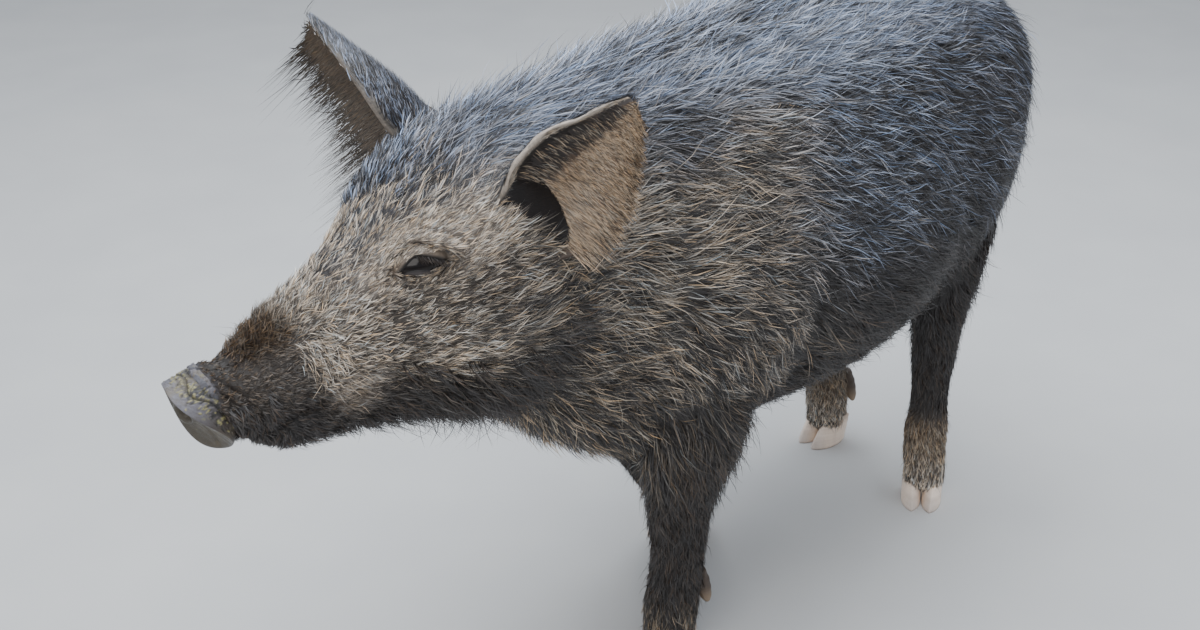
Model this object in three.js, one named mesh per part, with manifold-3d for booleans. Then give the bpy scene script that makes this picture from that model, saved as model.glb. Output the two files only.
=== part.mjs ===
// A young black pig, standing still, as a life-size model in millimetres.
// +X is the way the pig faces, +Y its left, +Z up; the feet stand on Z = 0.
// Flesh is lofted through a few named sections, fused, and parted again by thin cuts.
// The bristly coat is set on that flesh as flat, tapered locks, fused to the node they grow from.
import * as THREE from "three";
import { mergeVertices } from "three/addons/utils/BufferGeometryUtils.js";
import Module from "manifold-3d";

const wasm = await Module();
wasm.setup();

// ---------- driving dimensions ----------
const GAP = 0.3; // between nodes that touch
const ORIGIN = { x: 126.5, y: 0 }; // middle of the bounding box, moved to the origin at the end
const LEFT = 1;
const RIGHT = -1;

const LOOKS = {
  coat: { color: 0x24211f, roughness: 0.75 },
  face: { color: 0x35302c, roughness: 0.75 },
  ear: { color: 0x4a3a2e, roughness: 0.8 },
  snout: { color: 0x4a4742, roughness: 0.5 },
  eye: { color: 0x15100d, roughness: 0.15 },
  hoof: { color: 0xb9a58c, roughness: 0.6 },
  dewclaw: { color: 0x5c4a3a, roughness: 0.65 },
};

// Upright sections of the trunk, from the rump to the back of the head.
// top, bottom and level (of the widest point) are heights; half is half the width.
const TRUNK = [
  { x: -374, top: 508, bottom: 428, level: 478, half: 34, shift: 0 },
  { x: -365, top: 537, bottom: 380, level: 478, half: 60, shift: 0 },
  { x: -340, top: 566, bottom: 322, level: 475, half: 84, shift: 0 },
  { x: -297, top: 588, bottom: 282, level: 459, half: 107, shift: 0 },
  { x: -232, top: 602, bottom: 254, level: 434, half: 127, shift: 0 },
  { x: -150, top: 608, bottom: 239, level: 406, half: 140, shift: 0 },
  { x: -60, top: 609, bottom: 227, level: 390, half: 146, shift: 0 },
  { x: 30, top: 607, bottom: 223, level: 390, half: 145, shift: 0 },
  { x: 110, top: 603, bottom: 225, level: 395, half: 138, shift: 0 },
  { x: 180, top: 598, bottom: 229, level: 405, half: 127, shift: 0 },
  { x: 240, top: 593, bottom: 243, level: 425, half: 113, shift: 3 },
  { x: 300, top: 588, bottom: 278, level: 445, half: 99, shift: 7 },
  { x: 350, top: 584, bottom: 322, level: 460, half: 88, shift: 10 },
  { x: 395, top: 572, bottom: 366, level: 475, half: 74, shift: 12 },
  { x: 415, top: 545, bottom: 400, level: 478, half: 48, shift: 12 },
];
const TRUNK_SHAPE = { topPower: 2.1, bottomPower: 2.3, rings: 20, sides: 22, crowd: 0.75 };

// Muscle masses that swell the sides: centre, reach, and how far they stand out.
const TRUNK_SWELLS = [
  { at: [180, 108, 365], reach: [75, 90, 115], out: 13 }, // shoulder
  { at: [-235, 105, 440], reach: [80, 90, 90], out: 7 }, // ham
  { at: [-30, 120, 320], reach: [110, 90, 80], out: 6 }, // belly
];

// The head has its own frame: origin at the poll, +X along the face, +Z up, angles in degrees.
const HEAD_PLACE = { x: 381, y: 17, z: 583, yaw: -2, pitch: 12.5, roll: 4 };
const HEAD = [
  { x: -48, top: -36, bottom: -134, level: -80, half: 40 },
  { x: -34, top: -8, bottom: -170, level: -84, half: 63 },
  { x: 0, top: 8, bottom: -198, level: -92, half: 78 },
  { x: 40, top: 13, bottom: -210, level: -98, half: 82 },
  { x: 80, top: 6, bottom: -205, level: -98, half: 77 },
  { x: 118, top: -11, bottom: -182, level: -90, half: 63 },
  { x: 150, top: -27, bottom: -158, level: -86, half: 51 },
  { x: 185, top: -39, bottom: -141, level: -85, half: 42 },
  { x: 220, top: -48, bottom: -130, level: -85, half: 36 },
  { x: 255, top: -60, bottom: -124, level: -87, half: 31.5 },
  { x: 281, top: -66, bottom: -118, level: -89, half: 27.5 },
];
// The snout's sections lean more and more toward its tip, where they meet the nose disc square on.
const SNOUT_LEAN = { from: 215, to: 281, degrees: 14 };
const HEAD_SHAPE = {
  topPower: 2.05, bottomPower: 2.1, rings: 16, sides: 20, crowd: 0.3, lean: SNOUT_LEAN,
};
const HEAD_SWELLS = [
  { at: [106, 56, -26], reach: [30, 30, 18], out: 6 }, // brow
  { at: [135, 55, -68], reach: [30, 30, 20], out: -3 }, // hollow below the eye
  { at: [55, 80, -130], reach: [45, 40, 45], out: 6 }, // jowl
  { at: [42, 66, -14], reach: [46, 34, 30], out: 12 }, // broad poll before the ear
];
const JAW = [
  { x: 50, top: -120, bottom: -206, level: -154, half: 60 },
  { x: 110, top: -118, bottom: -188, level: -146, half: 47 },
  { x: 160, top: -116, bottom: -168, level: -140, half: 37 },
  { x: 200, top: -115, bottom: -155, level: -135, half: 31 },
  { x: 232, top: -114, bottom: -148, level: -131, half: 27 },
  { x: 252, top: -113, bottom: -138, level: -125, half: 23 },
  { x: 266, top: -112, bottom: -128, level: -120, half: 15 },
];
const JAW_SHAPE = { topPower: 2.2, bottomPower: 2.2, rings: 6, sides: 12, crowd: 0 };
const MOUTH = {
  from: 262, to: 172, frontLevel: -118, backLevel: -106,
  open: 1.6, deep: 5, lip: 4.5, rings: 4,
};
const EYE = { x: 112, y: 45, z: -47, radius: 14.5, lid: 3, slit: { long: 30, high: 10, tilt: -3 } };
const DISC = {
  x: 292.5, z: -87.5, tilt: 19, yaw: 5.5, half: 27.5, high: 38.5, thick: 17, sides: 20,
  twist: 5.8, // how far the rim is bent out of its plane, as the pig sniffs
};
const NOSTRIL = { y: 13, z: 1, wide: 6.5, high: 8.5, deep: 10 };

// Ears: base middle and tip in the head's frame; the cup opens toward faces; deep scales the leaf's cup,
// and wide its breadth, from the front edge.
const EARS = {
  left: {
    base: [14, 64, -46], tip: [-69, 111, 12], faces: [0.46, 0.88, -0.06],
    bend: -8, deep: 1.3, wide: 1, fringe: -1,
  },
  right: {
    base: [19, -60, -10], tip: [26, -154, 82], faces: [0.94, -0.26, -0.2],
    bend: 3, deep: 1.6, wide: 0.84, fringe: 1,
  },
};
// lobe is how far the leaf's middle lies toward its lower edge.
const EAR_LEAF = [
  { t: -0.3, half: 26, cup: 20, thick: 6, lobe: 3 },
  { t: 0, half: 44, cup: 25, thick: 5.5, lobe: 7 },
  { t: 0.22, half: 52, cup: 24, thick: 4.8, lobe: 5 },
  { t: 0.48, half: 47, cup: 18, thick: 4, lobe: 4 },
  { t: 0.72, half: 30, cup: 11, thick: 3.4, lobe: 4 },
  { t: 0.9, half: 15, cup: 5, thick: 2.8, lobe: 1 },
  { t: 1, half: 5, cup: 1.5, thick: 2, lobe: 0 },
];
const EAR_SHAPE = { rings: 8, across: 5 };

// Level sections of the legs: middle, half fore and aft (along) and half across.
const FORE_LEG = [
  { z: 345, x: 166, y: 70, along: 66, across: 34 },
  { z: 295, x: 178, y: 80, along: 64, across: 38 },
  { z: 250, x: 190, y: 86, along: 54, across: 37 },
  { z: 212, x: 197, y: 83, along: 41, across: 32 },
  { z: 180, x: 197, y: 79, along: 32, across: 28 },
  { z: 150, x: 194, y: 76, along: 28, across: 26 },
  { z: 122, x: 192, y: 74, along: 25, across: 24 },
  { z: 95, x: 193, y: 73, along: 27, across: 25 },
  { z: 68, x: 196, y: 72, along: 26, across: 25 },
  { z: 42, x: 197, y: 71, along: 26, across: 26 },
  { z: 22, x: 196, y: 71, along: 24, across: 24 },
  { z: 10, x: 190, y: 71, along: 15, across: 17 },
];
const HIND_LEG = [
  { z: 400, x: -244, y: 72, along: 52, across: 40 },
  { z: 345, x: -234, y: 78, along: 47, across: 38 },
  { z: 300, x: -226, y: 80, along: 41, across: 34 },
  { z: 260, x: -222, y: 80, along: 35, across: 30 },
  { z: 225, x: -221, y: 78, along: 29, across: 26 },
  { z: 195, x: -224, y: 77, along: 26, across: 24 },
  { z: 165, x: -224, y: 77, along: 24, across: 22 },
  { z: 130, x: -222, y: 79, along: 23, across: 21 },
  { z: 95, x: -221, y: 80, along: 26, across: 24 },
  { z: 65, x: -222, y: 80, along: 24, across: 24 },
  { z: 42, x: -224, y: 81, along: 24, across: 24 },
  { z: 22, x: -225, y: 81, along: 22, across: 23 },
  { z: 10, x: -229, y: 81, along: 14, across: 16 },
];
const LEG_SHAPE = { rings: 11, sides: 10, power: 2.2 };
// step: how far the foot is set forward of the sections above; turn: how far its toes turn out.
const LEGS = {
  fore_left: { sections: FORE_LEG, side: LEFT, step: 0, turn: 8 },
  fore_right: { sections: FORE_LEG, side: RIGHT, step: -168, turn: 6 },
  hind_left: { sections: HIND_LEG, side: LEFT, step: 0, turn: 34 },
  hind_right: { sections: HIND_LEG, side: RIGHT, step: -28, turn: 4 },
};
const STEP = { top: 300, foot: 40 }; // heights where a step begins to swing the leg, and where it is whole

const HOOF = {
  long: 54, wide: 22, high: 36, slope: 0.55,
  split: 2.6, spread: 4, ahead: 10, sides: 10, rings: 2,
};
const DEWCLAW = { long: 44, wide: 8, back: 20, apart: 15, top: 96, lean: 14, rings: 4 };

const TAIL = [
  { x: -350, y: 0, z: 512, radius: 17 },
  { x: -378, y: 1, z: 505, radius: 14 },
  { x: -398, y: 4, z: 480, radius: 11.5 },
  { x: -408, y: 9, z: 440, radius: 9.5 },
  { x: -409, y: 13, z: 395, radius: 7.5 },
  { x: -405, y: 14, z: 350, radius: 5.5 },
  { x: -400, y: 12, z: 322, radius: 3.5 },
];
const TAIL_SHAPE = { rings: 12, sides: 8 };

// Locks of bristle: how deep the root is sunk, how thick it is there, and its width along its length.
const LOCK = { sink: 5, thick: 2.2, rings: [0, 0.5], widths: [0.8, 1] };

// Rows of locks. Each runs from one station to another of the form that it grows on, at an angle
// round it: 0 is the left side, 90 the back, -90 the belly, 180 the rear of a leg.
// length is given at the start, middle and end; lift is how far they stand off; lie is where they
// point; roll turns their flat side, 0 facing off the skin and 90 facing sideways.
const BACKWARD = [-1, 0, 0];
const CREST = [
  {
    on: "head", angles: [90, 72, 108], from: 88, to: -6, count: 5,
    length: [14, 28, 42], width: 13, lift: 0.55, lie: BACKWARD, roll: 50,
  },
  {
    on: "trunk", angles: [90], from: 386, to: -318, count: 32,
    length: [48, 44, 18], width: 15, lift: 0.6, lie: BACKWARD, roll: 62,
  },
  {
    on: "trunk", angles: [79, 101], from: 378, to: -300, count: 17,
    length: [38, 42, 24], width: 20, lift: 0.38, lie: BACKWARD, roll: 30,
  },
];
const BEARD = [
  {
    on: "jaw", angles: [-90, -50, -130], from: 226, to: 75, count: 6,
    length: [14, 24, 32], width: 11, lift: 0.6, lie: [-1, 0, -0.3], roll: 50,
  },
  {
    on: "head", angles: [-90, -58, -122], from: 62, to: 8, count: 4,
    length: [28, 30, 32], width: 13, lift: 0.5, lie: [-1, 0, -0.2], roll: 45,
  },
  {
    on: "trunk", angles: [-90, -62, -118], from: 372, to: 232, count: 7,
    length: [34, 34, 30], width: 15, lift: 0.42, lie: [-1, 0, -0.1], roll: 45,
  },
  {
    on: "head", angles: [-8, -26, -44, 188, 206, 224], from: 20, to: -2, count: 2,
    length: [30, 28, 30], width: 16, lift: 0.3, lie: [-1, 0, -0.35], roll: 0,
  },
];
const BELLY = [
  {
    on: "trunk", angles: [-80, -100], from: 206, to: -210, count: 12,
    length: [26, 26, 20], width: 15, lift: 0.36, lie: BACKWARD, roll: 45,
  },
  {
    on: "trunk", angles: [-44, -136], from: 120, to: -165, count: 8,
    length: [36, 34, 30], width: 20, lift: 0.3, lie: [-1, 0, -0.5], roll: 0,
  },
];
const FLANKS = [
  {
    on: "trunk", angles: [64, 50, 36, 116, 130, 144], from: 338, to: -306, count: 10,
    length: [66, 76, 42], width: 29, lift: 0.14, lie: [-1, 0, -0.12], roll: 0,
  },
  {
    on: "trunk", angles: [22, 8, -6, -20, 158, 172, 186, 200], from: 316, to: -290, count: 9,
    length: [64, 74, 38], width: 29, lift: 0.14, lie: [-1, 0, -0.32], roll: 0,
  },
];
const LEG_FRINGES = [
  {
    on: "fore", angles: [150, 205], from: 292, to: 165, count: 6,
    length: [36, 32, 20], width: 14, lift: 0.4, lie: [-0.3, 0, -1], roll: 40,
  },
  {
    on: "hind", angles: [140, 180, 220], from: 372, to: 238, count: 5,
    length: [30, 28, 22], width: 15, lift: 0.32, lie: [-0.15, 0, -1], roll: 30,
  },
];
const TUFTS = {
  tail: { count: 8, from: 0.62, to: 0.98, length: [38, 52], width: 8, lift: 0.14 },
  ear: { from: 0.12, to: 0.86, count: 5, length: [24, 16], width: 8, lift: 0.5 },
};
const SEED = 11;

// Thin cuts: a plane through a point, leaning back by lean degrees.
const CUTS = {
  head: { x: 352, z: 560, lean: 9 },
  neck: { x: 215, z: 600, lean: 12 },
};
const LEG_TOPS = {
  fore: { from: 0, to: 320, z: 219 },
  hind: { from: -450, to: -170, z: 234 },
};

// ---------- small tools ----------
const radians = THREE.MathUtils.degToRad;
const vector = (x, y, z) => new THREE.Vector3(x, y, z);

// A value between stations, on a cubic through the neighbouring ones.
function between(stations, axis, field, at) {
  const last = stations.length - 1;
  const way = Math.sign(stations[last][axis] - stations[0][axis]);
  let i = 0;
  while (i < last - 1 && (at - stations[i + 1][axis]) * way > 0) i += 1;
  const slope = (k) => {
    const a = stations[Math.max(k - 1, 0)];
    const b = stations[Math.min(k + 1, last)];
    return (b[field] - a[field]) / (b[axis] - a[axis]);
  };
  const span = stations[i + 1][axis] - stations[i][axis];
  const u = (at - stations[i][axis]) / span;
  const rise = u * u * (3 - 2 * u);
  const leave = u * (1 - u) ** 2 * slope(i) * span;
  const arrive = u * u * (u - 1) * slope(i + 1) * span;
  return stations[i][field] * (1 - rise) + stations[i + 1][field] * rise + leave + arrive;
}

function sectionAt(stations, axis, at) {
  const section = {};
  for (const field of Object.keys(stations[0])) section[field] = between(stations, axis, field, at);
  return section;
}

// Cosine or sine of a rounded outline: the power 2 is an ellipse and more is squarer.
const rounded = (value, power) => Math.sign(value) * Math.abs(value) ** (2 / power);

const middleOf = (ring) =>
  ring.reduce((sum, point) => sum.add(point), vector(0, 0, 0)).divideScalar(ring.length);

// A closed geometry through rings of points, ending at a tip or on the middle of its last ring.
function skin(rings, tip = middleOf(rings.at(-1))) {
  const sides = rings[0].length;
  const points = [...rings.flat(), middleOf(rings[0]), tip];
  const start = points.length - 2;
  const lastRing = (rings.length - 1) * sides;
  const faces = [];
  for (let j = 0; j < sides; j += 1) {
    const k = (j + 1) % sides;
    for (let row = 0; row < lastRing; row += sides) {
      faces.push(row + j, row + k, row + sides + j);
      faces.push(row + k, row + sides + k, row + sides + j);
    }
    faces.push(start, k, j, start + 1, lastRing + j, lastRing + k);
  }
  return new THREE.BufferGeometry().setFromPoints(points).setIndex(faces);
}

// A geometry as a solid, right side out, and swollen along its normals where asked.
function solid(geometry, swell = 0) {
  const bare = geometry.clone();
  for (const name of Object.keys(bare.attributes)) if (name !== "position") bare.deleteAttribute(name);
  const merged = mergeVertices(bare, 1e-4);
  merged.computeVertexNormals();
  const { position, normal } = merged.attributes;
  const order = new Uint32Array(merged.index.array);
  const build = (swellBy) => new wasm.Manifold(new wasm.Mesh({
    numProp: 3,
    vertProperties: Float32Array.from(position.array, (value, i) => value + normal.array[i] * swellBy),
    triVerts: order,
  }));
  if (build(0).volume() > 0) return build(swell);
  for (let i = 0; i < order.length; i += 3) [order[i + 1], order[i + 2]] = [order[i + 2], order[i + 1]];
  return build(-swell);
}

function geometryOf(made) {
  const mesh = made.getMesh();
  const geometry = new THREE.BufferGeometry();
  geometry.setAttribute("position", new THREE.BufferAttribute(mesh.vertProperties, 3));
  geometry.setIndex(new THREE.BufferAttribute(mesh.triVerts, 1));
  geometry.computeVertexNormals();
  return geometry;
}

const joined = (solids) => wasm.Manifold.union(solids);

// The largest closed surface: scraps are dropped, and hollows that fusing sealed are filled.
const largest = (made) => made.decompose().reduce((best, one) => (one.volume() > best.volume() ? one : best));

// ---------- trunk, head and jaw: lofts through upright sections ----------
function swelled(point, swells) {
  const side = point.y < 0 ? RIGHT : LEFT;
  for (const { at, reach, out } of swells) {
    const away = ((point.x - at[0]) / reach[0]) ** 2
      + ((point.y * side - at[1]) / reach[1]) ** 2
      + ((point.z - at[2]) / reach[2]) ** 2;
    point.y += side * out * Math.exp(-away);
  }
  return point;
}

function leaned(point, lean, level) {
  const share = THREE.MathUtils.smoothstep(point.x, lean.from, lean.to);
  point.x += (point.z - level) * Math.tan(radians(lean.degrees)) * share;
  return point;
}

function loftPoint(stations, shape, swells, x, angle) {
  const s = sectionAt(stations, "x", x);
  const up = Math.sin(angle);
  const power = up > 0 ? shape.topPower : shape.bottomPower;
  const reach = up > 0 ? s.top - s.level : s.level - s.bottom;
  const y = (s.shift ?? 0) + s.half * rounded(Math.cos(angle), power);
  const point = swelled(vector(x, y, s.level + reach * rounded(up, power)), swells);
  return shape.lean ? leaned(point, shape.lean, s.level) : point;
}

// Rings crowd toward both ends, where the sections close fast.
function loft(stations, shape, swells) {
  const start = stations[0].x;
  const length = stations.at(-1).x - start;
  const rings = [];
  for (let i = 0; i <= shape.rings; i += 1) {
    const even = i / shape.rings;
    const x = start + length * (even - (shape.crowd * Math.sin(2 * Math.PI * even)) / (2 * Math.PI));
    const ring = [];
    for (let j = 0; j < shape.sides; j += 1) {
      ring.push(loftPoint(stations, shape, swells, x, (j / shape.sides) * 2 * Math.PI));
    }
    rings.push(ring);
  }
  return skin(rings);
}

const headMatrix = new THREE.Matrix4()
  .makeTranslation(HEAD_PLACE.x, HEAD_PLACE.y, HEAD_PLACE.z)
  .multiply(new THREE.Matrix4().makeRotationZ(radians(HEAD_PLACE.yaw)))
  .multiply(new THREE.Matrix4().makeRotationY(radians(HEAD_PLACE.pitch)))
  .multiply(new THREE.Matrix4().makeRotationX(radians(HEAD_PLACE.roll)));
const onHead = (geometry) => geometry.applyMatrix4(headMatrix);

// ---------- mouth ----------
// Points along the mouth line on one side, with the way out of the skin there.
function mouthLine(side) {
  const line = [];
  for (let i = 0; i <= MOUTH.rings; i += 1) {
    const t = i / MOUTH.rings;
    const x = MOUTH.from + (MOUTH.to - MOUTH.from) * t;
    const level = MOUTH.frontLevel + (MOUTH.backLevel - MOUTH.frontLevel) * t ** 1.5;
    const s = sectionAt(HEAD, "x", x);
    const drop = Math.min((s.level - level) / (s.level - s.bottom), 0.96);
    const half = s.half * (1 - drop ** HEAD_SHAPE.bottomPower) ** (1 / HEAD_SHAPE.bottomPower);
    const at = leaned(vector(x, side * half, level), SNOUT_LEAN, s.level);
    line.push({ at, out: vector(0, side, -drop).normalize() });
  }
  return line;
}

function mouthCut(side) {
  const half = MOUTH.open / 2;
  return skin(mouthLine(side).map(({ at, out }) => {
    const across = vector(0, side * -out.z, Math.abs(out.y));
    const outer = at.clone().addScaledVector(out, 6);
    const inner = at.clone().addScaledVector(out, -MOUTH.deep);
    return [
      outer.clone().addScaledVector(across, half),
      outer.clone().addScaledVector(across, -half),
      inner.clone().addScaledVector(across, -half / 2),
      inner.clone().addScaledVector(across, half / 2),
    ];
  }));
}

function lip(side, above) {
  return skin(mouthLine(side).map(({ at, out }, i) => {
    const radius = MOUTH.lip * (1 - 0.5 * (i / MOUTH.rings));
    const middle = at.clone().addScaledVector(out, -radius * 0.45);
    middle.z += above * (radius + MOUTH.open / 2 - 0.8);
    return circle(middle, vector(1, 0, 0), radius, 5);
  }));
}

// A ring of points about a middle, square to a direction.
function circle(middle, direction, radius, sides) {
  const axis = direction.clone().normalize();
  const turn = new THREE.Quaternion().setFromUnitVectors(vector(1, 0, 0), axis);
  return Array.from({ length: sides }, (_, j) => {
    const angle = (j / sides) * 2 * Math.PI;
    const spoke = vector(0, Math.cos(angle), Math.sin(angle)).multiplyScalar(radius);
    return spoke.applyQuaternion(turn).add(middle);
  });
}

// ---------- eyes ----------
const eyeAt = (side) => new THREE.Matrix4().makeTranslation(EYE.x, side * EYE.y, EYE.z);
const ball = (radius, rows) => new THREE.SphereGeometry(radius, rows * 2, rows).rotateX(Math.PI / 2);

const eyeBall = (side) => onHead(ball(EYE.radius, 5).applyMatrix4(eyeAt(side)));
const lidBall = (side) => onHead(ball(EYE.radius + EYE.lid, 5).applyMatrix4(eyeAt(side)));

// The opening between the lids, a flat lens that reaches out through them.
function eyeSlit(side) {
  const { long, high, tilt } = EYE.slit;
  const lens = ball(1, 4).scale(long / 2, EYE.radius + EYE.lid + 4, high / 2).rotateY(radians(tilt));
  return onHead(lens.translate(0, side * (EYE.radius * 0.55), 0).applyMatrix4(eyeAt(side)));
}

// ---------- nose disc ----------
const discMatrix = headMatrix.clone()
  .multiply(new THREE.Matrix4().makeTranslation(DISC.x, 0, DISC.z))
  .multiply(new THREE.Matrix4().makeRotationZ(radians(DISC.yaw)))
  .multiply(new THREE.Matrix4().makeRotationY(radians(DISC.tilt)));

// Rings from the back of the disc to its rim, its face and the dished middle.
function noseDisc() {
  const rings = [[-0.75, 0.82], [-0.2, 0.95], [0.25, 1], [0.5, 0.9], [0.35, 0.6]];
  const step = (depth) => Math.min(1, Math.max(0, depth + 0.75));
  return skin(rings.map(([depth, scale]) => {
    const ring = [];
    for (let j = 0; j < DISC.sides; j += 1) {
      const angle = (j / DISC.sides) * 2 * Math.PI;
      const narrow = 1 - 0.1 * (1 - Math.sin(angle)) / 2; // a little narrower below
      const y = DISC.half * scale * narrow * rounded(Math.cos(angle), 2.4);
      const z = DISC.high * scale * rounded(Math.sin(angle), 2.3);
      const bent = (2 * DISC.twist * y * z * step(depth)) / (DISC.half * DISC.high);
      ring.push(vector(DISC.thick * depth + bent, y, z));
    }
    return ring;
  })).applyMatrix4(discMatrix);
}

function nostril(side) {
  const pit = ball(1, 4).scale(NOSTRIL.deep, NOSTRIL.wide, NOSTRIL.high).rotateX(radians(side * 20));
  return pit.translate(DISC.thick * 0.45, side * NOSTRIL.y, NOSTRIL.z).applyMatrix4(discMatrix);
}

// ---------- ears ----------
function earFrame({ base, tip, faces }) {
  const along = vector(...tip).sub(vector(...base));
  const axis = along.clone().normalize();
  const open = vector(...faces).addScaledVector(axis, -vector(...faces).dot(axis)).normalize();
  return { origin: vector(...base), length: along.length(), axis, open, across: axis.clone().cross(open) };
}

// A point of the ear's leaf: t from root to tip, s from -1 at one edge to 1 at the other.
function earPoint(ear, t, s, inner) {
  const { origin, length, axis, open, across } = earFrame(ear);
  const leaf = sectionAt(EAR_LEAF, "t", t);
  const cup = leaf.cup * ear.deep;
  const half = leaf.half - (inner ? leaf.thick * 0.35 : 0);
  const deep = cup * (1 - s * s) - (inner ? leaf.thick * (1 - 0.4 * s * s) : 0);
  return origin.clone()
    .addScaledVector(axis, length * t)
    .addScaledVector(across, half * (ear.wide * s + (1 - ear.wide) * ear.fringe) - leaf.lobe * ear.fringe)
    .addScaledVector(open, cup * 0.5 - deep + ear.bend * t * t);
}

function earLeaf(ear) {
  const rings = [];
  for (let i = 0; i <= EAR_SHAPE.rings; i += 1) {
    const t = -0.3 + (1.3 * i) / EAR_SHAPE.rings;
    const { across } = EAR_SHAPE;
    const steps = Array.from({ length: across + 1 }, (_, j) => (2 * j) / across - 1);
    const outside = steps.map((s) => earPoint(ear, t, s, false));
    const inside = steps.map((s) => earPoint(ear, t, -s, true));
    rings.push([...outside, ...inside]);
  }
  return onHead(skin(rings));
}

// ---------- legs and feet ----------
// How much of the step the leg has taken at a height.
const swing = (z) => THREE.MathUtils.clamp((STEP.top - z) / (STEP.top - STEP.foot), 0, 1) ** 1.2;

function legPoint(leg, z, angle) {
  const s = sectionAt(leg.sections, "z", z);
  const turn = radians(leg.turn * leg.side) * THREE.MathUtils.smoothstep(-z, -230, -60);
  const along = s.along * rounded(Math.cos(angle), LEG_SHAPE.power);
  const across = s.across * rounded(Math.sin(angle), LEG_SHAPE.power);
  return vector(
    s.x + leg.step * swing(z) + along * Math.cos(turn) - across * Math.sin(turn),
    leg.side * s.y + along * Math.sin(turn) + across * Math.cos(turn),
    z,
  );
}

function legLoft(leg) {
  const [top, bottom] = [leg.sections[0].z, leg.sections.at(-1).z];
  const rings = [];
  for (let i = 0; i <= LEG_SHAPE.rings; i += 1) {
    const t = i / LEG_SHAPE.rings;
    const z = top + (bottom - top) * (t * 1.25 - t * t * 0.25); // closer rings toward the foot
    const angles = Array.from({ length: LEG_SHAPE.sides }, (_, j) => (j / LEG_SHAPE.sides) * 2 * Math.PI);
    rings.push(angles.map((angle) => legPoint(leg, z, angle)));
  }
  return skin(rings);
}

// The foot's own frame: under the leg on the floor, turned the way the toes point.
function footMatrix(leg) {
  const s = sectionAt(leg.sections, "z", 42);
  return new THREE.Matrix4()
    .makeTranslation(s.x + leg.step, leg.side * s.y, 0)
    .multiply(new THREE.Matrix4().makeRotationZ(radians(leg.turn * leg.side)));
}

// One hoof: a sole flat on the floor, walls that slope back, and a straight inner side.
function hoof(leg, side) {
  const rings = [];
  for (let i = 0; i <= HOOF.rings; i += 1) {
    const t = i / HOOF.rings;
    const ring = [];
    for (let j = 0; j < HOOF.sides; j += 1) {
      const angle = (j / HOOF.sides) * 2 * Math.PI;
      const taper = 1 - 0.32 * t;
      const point = Math.cos(angle) > 0 ? 1.35 : 2.6; // pointed toe, round heel
      const x = (HOOF.long / 2) * taper * rounded(Math.cos(angle), 2) - HOOF.high * HOOF.slope * t * 0.75;
      const bulge = Math.abs(Math.sin(angle)) ** (2 / point) * Math.sign(Math.sin(angle));
      ring.push(vector(HOOF.ahead + x, (HOOF.wide / 2) * bulge * (1 - 0.1 * t), HOOF.high * t));
    }
    rings.push(ring);
  }
  const toe = skin(rings).rotateZ(radians(-side * HOOF.spread));
  toe.translate(0, side * (HOOF.wide + HOOF.split) / 2, 0);
  return toe.applyMatrix4(footMatrix(leg));
}

function dewclaw(leg, side) {
  const rings = [];
  for (let i = 0; i < DEWCLAW.rings; i += 1) {
    const t = i / (DEWCLAW.rings - 1);
    const radius = DEWCLAW.wide * Math.sqrt(1 - t ** 3 * 0.96) * (0.8 + 0.2 * Math.min(3 * t, 1));
    const x = -DEWCLAW.back - DEWCLAW.lean * t;
    const middle = vector(x, side * (DEWCLAW.apart + 3 * t), DEWCLAW.top - DEWCLAW.long * t);
    rings.push(circle(middle, vector(-DEWCLAW.lean, 0, -DEWCLAW.long), radius, 6));
  }
  const s = sectionAt(leg.sections, "z", DEWCLAW.top - 10);
  const place = new THREE.Matrix4()
    .makeTranslation(s.x + leg.step * swing(DEWCLAW.top), leg.side * s.y, 0)
    .multiply(new THREE.Matrix4().makeRotationZ(radians(leg.turn * leg.side)));
  return skin(rings).applyMatrix4(place);
}

// ---------- tail ----------
function tailPoint(t) {
  const along = TAIL.map((station, i) => ({ ...station, t: i / (TAIL.length - 1) }));
  return sectionAt(along, "t", t);
}

function tailLoft() {
  const rings = [];
  for (let i = 0; i <= TAIL_SHAPE.rings; i += 1) {
    const t = i / TAIL_SHAPE.rings;
    const here = tailPoint(t);
    const before = tailPoint(Math.max(t - 0.02, 0));
    const after = tailPoint(Math.min(t + 0.02, 1));
    const way = vector(after.x - before.x, after.y - before.y, after.z - before.z);
    rings.push(circle(vector(here.x, here.y, here.z), way, here.radius, TAIL_SHAPE.sides));
  }
  return skin(rings);
}

// ---------- parting the flesh into nodes ----------
// Everything forward of a cut's plane, moved forward by shift.
function aheadOf({ x, z, lean }, shift = 0) {
  const box = new THREE.BoxGeometry(2000, 900, 2000).translate(1000 + shift, 0, 0);
  return solid(box.rotateY(radians(-lean)).translate(x, 0, z));
}

function legBlock({ from, to, z }, side, grow = 0) {
  const box = new THREE.BoxGeometry(to - from + 2 * grow, 300, z + 50 + grow);
  return solid(box.translate((from + to) / 2, side * (150 + GAP - grow), (z - 50 + grow) / 2));
}

const sides = [LEFT, RIGHT];
const fleshSkins = [
  loft(TRUNK, TRUNK_SHAPE, TRUNK_SWELLS),
  onHead(loft(HEAD, HEAD_SHAPE, HEAD_SWELLS)),
  onHead(loft(JAW, JAW_SHAPE, [])),
  ...Object.values(LEGS).map(legLoft),
];
const flesh = joined([
  ...fleshSkins.map((one) => solid(one)),
  ...sides.flatMap((side) => [solid(lidBall(side)), solid(onHead(lip(side, 1)))]),
]);
const fleshSwollen = joined(fleshSkins.map((one) => solid(one, GAP)));

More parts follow.
